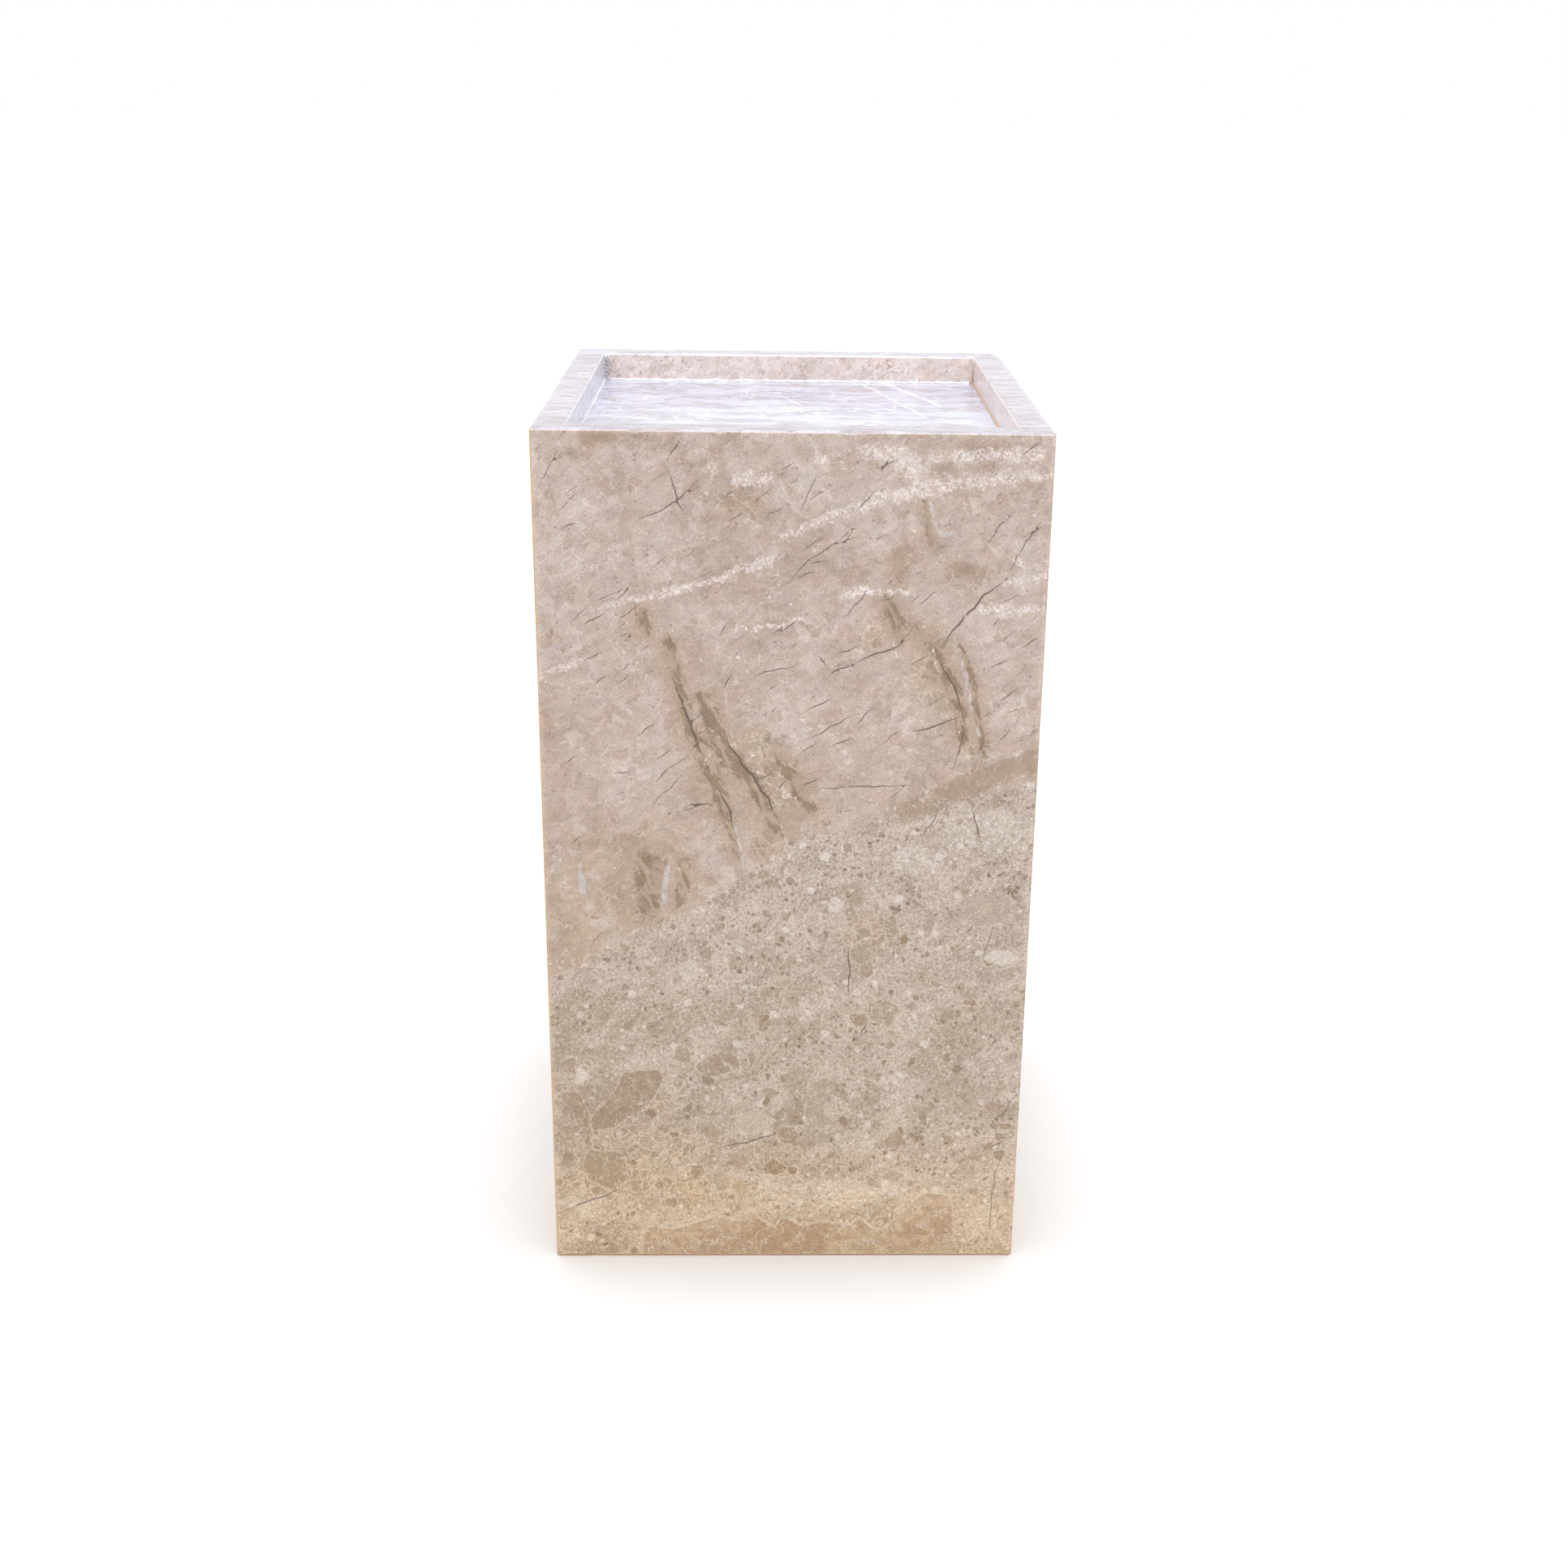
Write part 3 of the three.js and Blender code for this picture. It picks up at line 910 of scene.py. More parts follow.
# %% Short cracks and strewn veins
CRACK_LENGTHS, CRACK_WIDTHS = (4, 17), (0.08, 0.32)  # from, to, in millimetres; half widths
CRACK_RISE = (37, 12)  # degrees: the middle, and how far most of them stray from it
WALKS = {"pale": (1.8, 0.10), "brown": (1.6, 0.08), "cores": (0.8, 0.2), "hairlines": (1.2, 0.3)}


def short_cracks(rng, count, low_drop, high_drop):
    """Faint hairlines that all rise to the right, as the bed's own cleavage does."""
    made = []
    for _ in range(count):
        x, drop = rng.uniform(8, SIDE - 8), rng.uniform(low_drop, high_drop)
        length, rise = rng.uniform(*CRACK_LENGTHS), math.radians(rng.normal(*CRACK_RISE))
        end = (x + length * math.cos(rise), drop - length * math.sin(rise))
        made.append(line(rng.uniform(*CRACK_WIDTHS), (x, drop), end))
    return made


def walk_plan(seed, plan):
    """Walks every line of a plan, by each kind's wander and taper; the mesh needs that."""
    for kind, (wander, taper) in WALKS.items():
        plan[kind] = [walk(item, seed + i, wander, taper) for i, item in enumerate(plan[kind])]
    return plan


STREWN_PALE, STREWN_BROWN, STREWN_CLASTS = 7, 6, 26  # fewer than the front slab has
CLAST_TONES = [0.0, 0.1, 0.2, 0.25, 0.3, 0.45, 0.9]


def strewn_patches(rng, count, low_drop, high_drop):
    """Soft patches laid out by chance."""
    return [(rng.uniform(0, SIDE), rng.uniform(low_drop, high_drop), rng.uniform(7, 24),
             rng.uniform(6, 18), rng.uniform(0.4, 1.0)) for _ in range(count)]


def strewn_plan(seed, border):
    """A plan laid out by chance for a slab that the portrait doesn't show."""
    rng = np.random.default_rng(seed)
    border = np.array(border, float)
    start = rng.uniform(90, 190)
    x = np.linspace(-5, SIDE + 5, 7)
    drops = start - 0.28 * x + rng.uniform(-9, 9, 7)
    pale = [line(tuple(rng.uniform(0.8, 4.0, 7)), *zip(x, drops))]
    for _ in range(STREWN_PALE):
        x, drop, length = rng.uniform(10, 250), rng.uniform(10, 240), rng.uniform(15, 50)
        middle = (x + length / 2, drop + rng.uniform(-4, 4))
        end = (x + length, drop - 0.15 * length)
        pale.append(line((0.8, rng.uniform(1.2, 3), 0.8), (x, drop), middle, end))
    brown, cores = [], []
    for _ in range(STREWN_BROWN):
        x, drop, length = rng.uniform(30, 260), rng.uniform(40, 200), rng.uniform(30, 110)
        middle = (x + 0.25 * length, drop + 0.5 * length)
        end = (x + 0.4 * length, drop + length)
        brown.append(line((1.2, rng.uniform(2, 3.4), 1.0), (x, drop), middle, end))
        if rng.random() < 0.5:
            cores.append(line((0.6, 1.3, 0.6), middle, end))
    clasts = []
    for _ in range(STREWN_CLASTS):
        x = rng.uniform(8, SIDE - 8)
        drop = np.interp(x, border[:, 0], border[:, 1]) + rng.uniform(12, 260)
        size = rng.uniform(2.5, 11)
        length, turn, tone = size * rng.uniform(0.8, 1.5), rng.uniform(-40, 40), rng.choice(CLAST_TONES)
        clasts.append(lump(rng, x, min(drop, HEIGHT - 14), length, size, turn, tone))
    steps = np.linspace(rng.uniform(0, 60), rng.uniform(200, 300), 10)
    tan_top = np.stack([steps, np.concatenate([[-8], rng.uniform(8, 42, 8), [-8]])], 1)
    return walk_plan(seed, dict(
        pale=pale, brown=brown, cores=cores, border=border, tan_top=tan_top, clasts=clasts, band=None,
        hairlines=short_cracks(rng, 60, 15, 260) + short_cracks(rng, 12, 260, 530),
        brown_patches=strewn_patches(rng, 30, 0, HEIGHT),
        cracked=strewn_patches(rng, 14, 60, HEIGHT),
        gritty=strewn_patches(rng, 6, 0, 60) + strewn_patches(rng, 12, 230, HEIGHT)))


# %% [markdown]
# The right, back and left borders start where the one before them ends, so the breccia runs round
# the box. The front slab's plan is the listed one.

# %% Lay out the four plans
front_rng = np.random.default_rng(11)
front_cracks = HAIRLINES + short_cracks(front_rng, 110, 12, 240) + short_cracks(front_rng, 16, 250, 520)
front_plan = walk_plan(3, dict(
    pale=PALE_VEINS + PALE_THREADS, brown=BROWN_VEINS, cores=GREY_CORES, hairlines=front_cracks,
    border=BRECCIA_BORDER, tan_top=TAN_TOP, clasts=CLASTS, band=BAND_TOP,
    brown_patches=BROWN_PATCHES, cracked=CRACKED_PATCHES, gritty=GRITTY_PATCHES))
right_plan = strewn_plan(21, [(0, 212), (60, 190), (120, 196), (180, 158), (240, 150), (300, 128)])
back_plan = strewn_plan(34, [(0, 128), (70, 180), (140, 214), (200, 290), (260, 300), (300, 338)])
left_plan = strewn_plan(47, [(0, 338), (60, 372), (120, 350), (190, 388), (250, 360), (300, 346)])
print(len(front_cracks), "hairlines in front,", len(back_plan["hairlines"]), "at the back")

# %% [markdown]
# The front slab gets a finer net than the others, because the portrait shows it. Every slab stands
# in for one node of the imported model.

# %% Make the four slabs
FINE_NET, PLAIN_NET = 2.6, 4.0  # millimetres between loose points of the polished face
walls = {
    "front_slab": wall_slab("front_marble", 0, front_plan, FINE_NET, 5),
    "right_slab": wall_slab("right_marble", 1, right_plan, PLAIN_NET, 6),
    "back_slab": wall_slab("back_marble", 2, back_plan, PLAIN_NET, 7),
    "left_slab": wall_slab("left_marble", 3, left_plan, PLAIN_NET, 8),
}

# %% [markdown]
# ## The wall marble
# The stone is built up in the order it formed. First comes the bed: cloudy lime mud that broke into
# soft-edged shards and healed with threads of pale calcite. Next the breccia, a gravel of brown and
# white clasts in a sandy paste. Then the tan clast, the large clasts, and last the veins that cut
# across everything. Each stage takes the colour so far and lays the next one over it, so a stage can
# be changed without touching the rest. What several stages read, such as the clouds and the cells,
# is made once and shared, because noise and cells are what a render spends its time on.

# %% What the stages share
FINE_CELL, MIDDLE_CELL, WIDE_CELL = 2.4, 3.8, 7.2  # grains, pebbles and shards, in millimetres


def shared_fields(g):
    """The coordinates, noises and cells that more than one stage reads."""
    place = g.place()
    bent = g.bend(place, 18, 4.0)
    jagged = g.bend(bent, 3.0, 0.7)
    across, along, up = g.parts(place)
    return SimpleNamespace(
        place=place, bent=bent, jagged=jagged, across=across, along=along, up=up,
        cloud=g.noise(bent, 44, detail=5, roughness=0.6),
        lumps=g.noise(jagged, 5.5, detail=4, roughness=0.62),
        small=g.noise(place, 1.5, detail=3, roughness=0.6),
        grain=g.noise(place, 0.8, detail=1),
        fine_cells=g.cells(jagged, FINE_CELL),
        middle_cells=g.cells(jagged, MIDDLE_CELL),
        wide_cells=g.cells(jagged, WIDE_CELL))


def ragged(value, s, by_lumps, by_small=0):
    """A value made uneven by noise, so that one level of it is a rough edge."""
    if by_lumps:
        value = value + by_lumps * (s.lumps - 0.5)
    return value + by_small * (s.small - 0.5) if by_small else value


print("cells of", FINE_CELL, "mm,", MIDDLE_CELL, "mm and", WIDE_CELL, "mm")

# %% [markdown]
# The bed is nearly one colour. What makes it stone is that the colour drifts in clouds, that whole
# shards are a shade darker or lighter, and that faint streaks follow its old layers.

# %% The bed: clouds, shards, flow and specks
# The bed is warmer towards the foot, partly in its own tone and partly as painted warm bounce light from
# the floor.
BED_TOP, BED_FOOT = linear(197, 178, 166), linear(196, 174, 152)


def bed(g, s):
    """The colour of the bed, and how light each spot of it is."""
    shard, chip = s.wide_cells[1], s.middle_cells[1]
    streaks = g.streaks(s.bent, 26, 5, 27, detail=3, roughness=0.6)
    dark, dark_tone = g.flecks(s.fine_cells, 0.13, 0.42, turn=1)
    white, white_tone = g.flecks(s.middle_cells, 0.045, 0.28, 0.3 * (s.small - 0.5), turn=2)
    stone = g.layers(
        g.mix(BED_FOOT, BED_TOP, g.step(s.up, 120, 470)),
        ((207, 191, 180), g.step(s.cloud, 0.50, 0.66) * 0.75),
        ((178, 157, 141), g.step(s.cloud, 0.50, 0.36) * 0.55),
        ((170, 146, 128), g.step(shard[0], 0.80, 0.95) * 0.42),
        ((213, 199, 191), g.step(shard[1], 0.80, 0.95) * 0.40),
        ((184, 156, 143), g.step(shard[2], 0.84, 0.95) * 0.35),
        (g.mix(linear(138, 114, 100), linear(176, 150, 136), dark_tone), dark * 0.6),
        ((240, 231, 226), white * white_tone))
    light = 1 + 0.08 * (shard[0] - 0.5) + 0.12 * (chip[0] - 0.5) + 0.36 * (streaks - 0.5)
    return stone, light


# %% [markdown]
# A gravel has every size at once. The same spots are laid four times, from large and faint to small
# and dark, and the two small sizes come in swarms that follow the layers.

# %% The breccia: gravel of several sizes in a sandy paste
def breccia_stone(g, s):
    uneven = 0.40 * (s.small - 0.5)
    flow = g.flow(s.bent, 40, 20, 24)
    swarming = 0.25 + 0.75 * g.step(g.noise(flow, 1.0, detail=3), 0.42, 0.60)
    paste = g.noise(flow, 0.6, detail=4, roughness=0.62)
    sand = g.noise(s.place, 1.9, detail=3, roughness=0.7)
    stone = g.layers(
        g.mix(linear(182, 165, 150), linear(203, 187, 174), g.step(paste, 0.40, 0.60)),
        ((217, 203, 189), g.step(sand, 0.51, 0.62) * 0.60),
        ((160, 140, 120), g.step(sand, 0.48, 0.38) * 0.60))
    big_cells, big_uneven = g.cells(s.bent, 17.0), 0.24 * (s.lumps - 0.5)
    for cells, share, radius, edge, dark, light, strength in (
        (big_cells, 0.34, 0.56, big_uneven, (160, 141, 114), (184, 168, 152), 0.60),
        (s.wide_cells, 0.28, 0.52, uneven, (144, 121, 95), (178, 159, 140), 0.85),
        (s.middle_cells, 0.40, 0.52, uneven, (126, 102, 78), (172, 151, 130), swarming * 0.95),
        (s.fine_cells, 0.24, 0.48, uneven, (134, 110, 88), (174, 152, 132), swarming * 0.75),
    ):
        inside, tone = g.flecks(cells, share, radius, edge)
        stone = g.mix(stone, g.mix(linear(*dark), linear(*light), tone), inside * strength)
    return g.layers(
        stone,
        ((224, 213, 203), g.flecks(s.wide_cells, 0.12, 0.44, uneven, turn=1)[0] * 0.8),
        ((228, 218, 209), g.flecks(s.middle_cells, 0.10, 0.46, uneven, turn=2)[0] * 0.7))


def bed_and_breccia(g, s):
    """The two rocks that meet at the border, their light, and where the breccia is."""
    stone, light = bed(g, s)
    inside = g.step(ragged(g.attribute("ground")[0], s, 9), -1.2, 1.2)
    stone = g.mix(stone, breccia_stone(g, s), inside)
    return stone, 1 + (light - 1) * (1 - 0.6 * inside), inside


# %% [markdown]
# Where the rock was crushed, calcite fills the gaps: a Voronoi wall is just that. The large clasts
# and the patches come from the mesh, and noise roughens their edges. A thin pale seam goes round
# each clast, because the calcite grew there first.

# %% Cracked stone, clasts and grit
def cracked_stone(g, s):
    """Brown shards with pale calcite between them."""
    gap = g.walls(s.jagged, WIDE_CELL) + 0.14 * (s.lumps - 0.45)
    return g.layers(
        g.mix(linear(156, 131, 104), linear(190, 168, 147), s.wide_cells[1][0]),
        ((214, 198, 180), g.threads(g.noise(s.jagged, 6, detail=2), 0.035, 0.008) * 0.75),
        ((218, 200, 182), g.step(gap, 0.10, 0.02) * 0.74))


def clasts_and_patches(g, stone, s):
    """The stone with its brown, cracked and gritty patches and the large clasts."""
    brown_patch, cracked, gritty = g.attribute("patch")
    clast, tone, _ = g.attribute("clast")
    body = g.layers(
        g.mix(linear(152, 127, 98), linear(222, 213, 204), tone),
        ((214, 198, 180), g.threads(g.noise(s.bent, 7, detail=2), 0.03, 0.006) * 0.5),
        ((184, 164, 144), g.step(s.lumps, 0.50, 0.62) * 0.35))
    edge = ragged(clast, s, 3.0, 1.2)
    grit = g.noise(s.place, 2.6, detail=4, roughness=0.75)
    sandy = g.step(ragged(gritty, s, 1.8), 0.20, 0.85)
    return g.layers(
        stone,
        ((164, 140, 117), g.step(ragged(brown_patch, s, 1.5), 0.25, 0.75) * 0.66),
        (cracked_stone(g, s), g.step(ragged(cracked, s, 1.6), 0.30, 0.60) * 0.80),
        (body, g.step(edge, 0.25, -0.25) * 0.90),
        ((218, 202, 186), g.step(edge.off(0.3), 0.55, 0.15) * 0.45),
        ((218, 204, 192), sandy * 0.35),
        ((238, 229, 221), sandy * g.step(grit, 0.54, 0.64) * 0.65),
        ((162, 142, 126), sandy * g.step(grit, 0.42, 0.34) * 0.65))


# %% [markdown]
# Towards the foot the stone turns warmer, partly in its own tone and partly as painted warm bounce
# light from the floor. A tint multiplies what is there, so the grain stays visible, and a red above 1
# brightens the foot as well, which is painted light. Over it lies the tan clast, one large block, so
# its edge is a single level of the depth that the mesh carries.

# %% The warm foot, partly painted bounce light, and the tan clast
# Both tints are partly the stone's warmer tone and partly painted warm bounce light from the floor.
WARM_GLASS, FOOT_GLASS = (0.95, 0.935, 0.885, 1), (1.21, 1.11, 0.97, 1)


def tan_stone(g, s):
    return g.layers(
        g.mix(linear(203, 175, 144), linear(184, 154, 123), g.step(s.cloud, 0.42, 0.56)),
        ((186, 152, 120), g.step(s.lumps, 0.50, 0.57) * 0.55),
        ((216, 192, 163), g.step(s.lumps, 0.46, 0.40) * 0.35),
        ((180, 148, 118), g.step(s.wide_cells[1][0], 0.70, 0.74) * 0.45),
        ((224, 203, 176), g.threads(g.noise(s.bent, 11, detail=2), 0.02, 0.004) * 0.75))


def warm_foot_and_painted_bounce(g, stone, s):
    """The stone with its warm foot, partly painted warm bounce light, and the tan clast."""
    stone = g.tint(stone, WARM_GLASS, g.step(s.up + 60 * (s.cloud - 0.5), 310, 165))
    stone = g.tint(stone, FOOT_GLASS, g.step(s.up + 30 * (s.cloud - 0.5), 120, 15))
    edge = ragged(g.attribute("ground")[1], s, 3.0, 1.6)
    return g.layers(
        stone,
        ((226, 206, 178), g.step(edge.off(-1.2), 2.0, 0.4) * 0.55),
        (tan_stone(g, s), g.step(edge, -0.2, 0.3) * 0.92))


# %% [markdown]
# The veins come last, because they cut through all the rest. A brown vein has a soft halo and a
# streaked core. A pale one is a swarm of calcite grains, so its edge is broken up by coarse noise.
# A hairline is open, and dirt makes it dark.

# %% The veins that cut across
def brown_veins(g, stone, s):
    """Healed threads, rust lines, and the brown veins with their grey cores."""
    healed = g.threads(g.noise(s.bent, 17, detail=3), 0.011, 0.002)
    rust = g.threads(g.streaks(s.place, 26, 12, 35, detail=3), 0.008, 0.001)
    streaks = g.streaks(s.jagged, 18, 4, -62, detail=3)
    spread = ragged(g.attribute("veins")[2], s, 2.4, 1.4)
    grey = ragged(g.attribute("ground")[2], s, 0, 1.6)
    inner = g.mix(linear(134, 110, 84), linear(178, 157, 135), g.step(streaks, 0.43, 0.56))
    return g.layers(
        stone,
        ((222, 209, 200), healed * g.step(s.lumps, 0.42, 0.56) * 0.70),
        ((144, 120, 104), rust * g.step(s.lumps, 0.54, 0.44) * 0.6),
        ((180, 157, 137), g.step(spread, 4.8, 1.2) * 0.58),
        (inner, g.step(spread, 1.35, 0.85) * 0.74),
        ((208, 201, 198), g.step(grey, 1.5, 0.7) * 0.7))


def pale_veins(g, stone, s):
    """The pale veins and the open hairlines, and two masks: hairlines and white grains."""
    hair, pale, _ = g.attribute("veins")
    grit = g.noise(s.place, 1.8, detail=3, roughness=0.75)
    spread = ragged(pale, s, 4.6, 2.0)
    near = g.step(spread, 1.5, 0.1)
    edge = g.step(spread.off(0.9), 0.30, 0.08)
    white = g.step(grit + 0.12 * near, 0.60, 0.66) * g.step(near, 0.2, 0.6)
    worn = g.step(ragged(hair, s, 0, 1.3), 1.6, 0.7) * g.step(s.lumps, 0.28, 0.42)
    stone = g.layers(
        stone,
        ((222, 205, 197), near * 0.58),
        ((234, 221, 214), edge * g.step(grit, 0.44, 0.54) * 0.7),
        ((242, 234, 230), white * 0.68),
        ((158, 132, 116), g.step(grit, 0.42, 0.34) * near * 0.7),
        ((100, 82, 72), worn * 0.88))
    return stone, worn, white


# %% [markdown]
# The faces that aren't the polished outside differ a little. The rim was ground after gluing and is
# streaked; its pale grey-lavender tone is a painted reflection of the sky, darkened on the front rim
# as painted shade. The inside is painted light: paler still, and blue on the left as painted sky
# light. The arris gets an ochre painted reflection of warm light at the front left corner and the foot.

# %% Rim, inside, broken corner and arrises, with painted reflection, shade and light
def other_faces(g, stone, s):
    """The stone with its other faces and their painted light, and two masks: the break and the arrises."""
    rim, broken, arris = g.attribute("rim_break_arris")
    on_inside = g.attribute("clast")[2]
    # The inside is painted light: a much paler tone than the stone, with painted sky blue on the left; its
    # lumps and scratches are the stone's own.
    blue = g.step(s.across, 4 - INNER_HALF, 0.5 - INNER_HALF)
    scratch = g.threads(g.streaks(s.bent, 14, 6, 50, detail=2), 0.016, 0.004)
    inside = g.layers(
        g.mix(linear(244, 230, 224), linear(234, 237, 253), blue),
        ((206, 178, 160), g.step(s.lumps, 0.52, 0.60) * 0.36),
        ((212, 188, 170), g.step(s.wide_cells[1][2], 0.66, 0.74) * 0.3),
        ((170, 140, 122), scratch * g.step(s.cloud, 0.46, 0.52) * 0.7))
    # The rim's streaks are its own; its grey-lavender tone is a painted reflection of the sky.
    streaks = g.streaks(s.bent, 30, 5, 0, detail=4, roughness=0.65)
    top = g.mix(linear(164, 155, 156), linear(199, 194, 202), g.step(streaks, 0.40, 0.60))
    # The front rim is darkened as painted shade.
    top = g.shade(top, 1 - 0.17 * g.step(s.along, 1 - INNER_HALF, -1 - INNER_HALF))
    # An ochre painted reflection of warm light on the front left arris and along the foot.
    corner = g.step(s.across, 1.6 - HALF, 0.7 - HALF) * g.step(s.along, 2.4 - HALF, 1.4 - HALF)
    painted_warm_reflection = corner.over(g.step(s.up, 2.0, 0.9)) * arris
    stone = g.layers(
        stone, (inside, on_inside * 0.86), (top, rim * 0.74), ((226, 216, 206), broken),
        ((216, 176, 128), painted_warm_reflection * 0.85))
    return stone, broken, arris


# %% [markdown]
# Now the stages are called one after the other. The masks that they hand back serve twice, since a
# hairline is dark, rough and a little deep, and only one place says where it runs.

# %% Put the wall marble together
DARKER = 0.93  # the studio light is strong, so the whole stone is taken down a little


def wall_marble():
    g = Graph("wall_marble")
    s = shared_fields(g)
    stone, light, inside = bed_and_breccia(g, s)
    stone = clasts_and_patches(g, stone, s)
    stone = brown_veins(g, warm_foot_and_painted_bounce(g, stone, s), s)
    stone, worn, white = pale_veins(g, stone, s)
    stone, broken, arris = other_faces(g, stone, s)
    grainy = (0.60 + 0.35 * inside) * (s.grain - 0.5)
    # The arrises are a tenth lighter: a painted highlight.
    light = light * (1 + 0.46 * (s.small - 0.5) + grainy + 0.10 * arris) * DARKER
    roughness = 0.24 + 0.16 * (s.lumps - 0.5)
    roughness = roughness + 0.25 * worn + 0.5 * broken + 0.08 * white + 0.1 * arris
    height = 0.25 * s.grain + 0.35 * s.small - worn - 0.3 * inside * s.lumps
    return g.finish(g.shade(stone, light), roughness, height, 0.10, 0.30)


wall_material = wall_marble()
for node, piece in walls.items():
    piece.data.materials.append(wall_material)
    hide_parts(node)
    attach(piece, "root")
print("the wall marble is on", ", ".join(walls))

# %% [markdown]
# ## The tray
# The tray slab is paler and grey-lavender, partly its own stone and partly a painted reflection of
# the sky, with long faint streaks like thin cloud. It is flat and plain, so its own mesh is enough,
# and the streaks come from noise that is stretched sideways.

# %% Mix the tray marble
TRAY_PATCH = (40, 10, 0)  # where in the stone's noise the tray was cut, in millimetres
# Straight veins laid across the tray: slope, start at x = 0, from x, to x, half width in mm.
TRAY_VEINS = [(-3.55, 307, 49, 88, 1.4), (-2.56, 300, 65, 101, 3.0), (-2.84, 56, -4, 7, 1.2),
              (0.70, 17, -39, 6, 1.0), (0.79, 13, 30, 47, 1.0), (-1.37, 115, 47, 72, 1.2)]


def tray_veins(g, stone, place):
    """The tray's few straight pale veins, each a line with two ends."""
    across, along, _ = g.parts(g.bend(place, 16, 3))
    across, along = across - TRAY_PATCH[0], along - TRAY_PATCH[1]
    for slope, start, low, high, width in TRAY_VEINS:
        gap = (along - slope * across).off(start) * (1 + slope * slope) ** -0.5
        span = g.step(across, low - 2, low + 2) * g.step(across, high + 2, high - 2)
        stone = g.layers(stone, ((235, 234, 241), g.step(gap, width, 0.3 * width) * span * 0.6))
    return stone


def tray_marble():
    g = Graph("tray_marble")
    place = g.place(TRAY_PATCH)
    bent = g.bend(place, 40, 14)
    streak = g.streaks(bent, 70, 16, 0, detail=5, roughness=0.62)
    fine = g.streaks(bent, 14, 3.4, 0, detail=4, roughness=0.6)
    grain = g.noise(place, 1.1, detail=2)
    thread = g.threads(g.noise(g.bend(place, 24, 9), 46, detail=3), 0.010, 0.002)
    crack = g.threads(g.streaks(bent, 60, 34, 0, detail=3), 0.004, 0.001, level=0.44)
    # Grey-lavender tones: partly the stone's own, partly a painted reflection of the sky.
    stone = g.layers(
        g.mix(linear(167, 158, 161), linear(196, 191, 199), g.step(streak, 0.40, 0.58)),
        ((192, 176, 168), g.step(streak, 0.44, 0.34) * 0.6),
        ((212, 210, 220), g.step(fine, 0.52, 0.64) * 0.6),
        ((226, 225, 232), thread * 0.6))
    stone = g.layers(tray_veins(g, stone, place), ((160, 146, 142), crack * 0.35))
    colour = g.shade(stone, 1 + 0.20 * (fine - 0.5) + 0.08 * (grain - 0.5))
    roughness = 0.17 + 0.20 * (fine - 0.5) + 0.2 * crack
    return g.finish(colour, roughness, 0.3 * grain + 0.6 * fine - crack, 0.12, 0.4)


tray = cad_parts["tray_slab"]
tray.data.materials.clear()
tray.data.materials.append(tray_marble())

# %% [markdown]
# ## Resin
# The slabs are glued with clear resin, which the mason scraped off by hand. What is left shows as
# a thin uneven bead along the tray's foot, whiter at the back and brown on the right, as beads up
# the inner corners, as pale flakes in the back left corner, and as a hair-thin fill in each mitre,
# brown at the front left corner as a painted reflection of warm light. All of it follows a path or
# repeats, so Geometry Nodes makes it: a tree built here in Python, with named inputs for its sizes,
# that ends in plain triangles with a material.

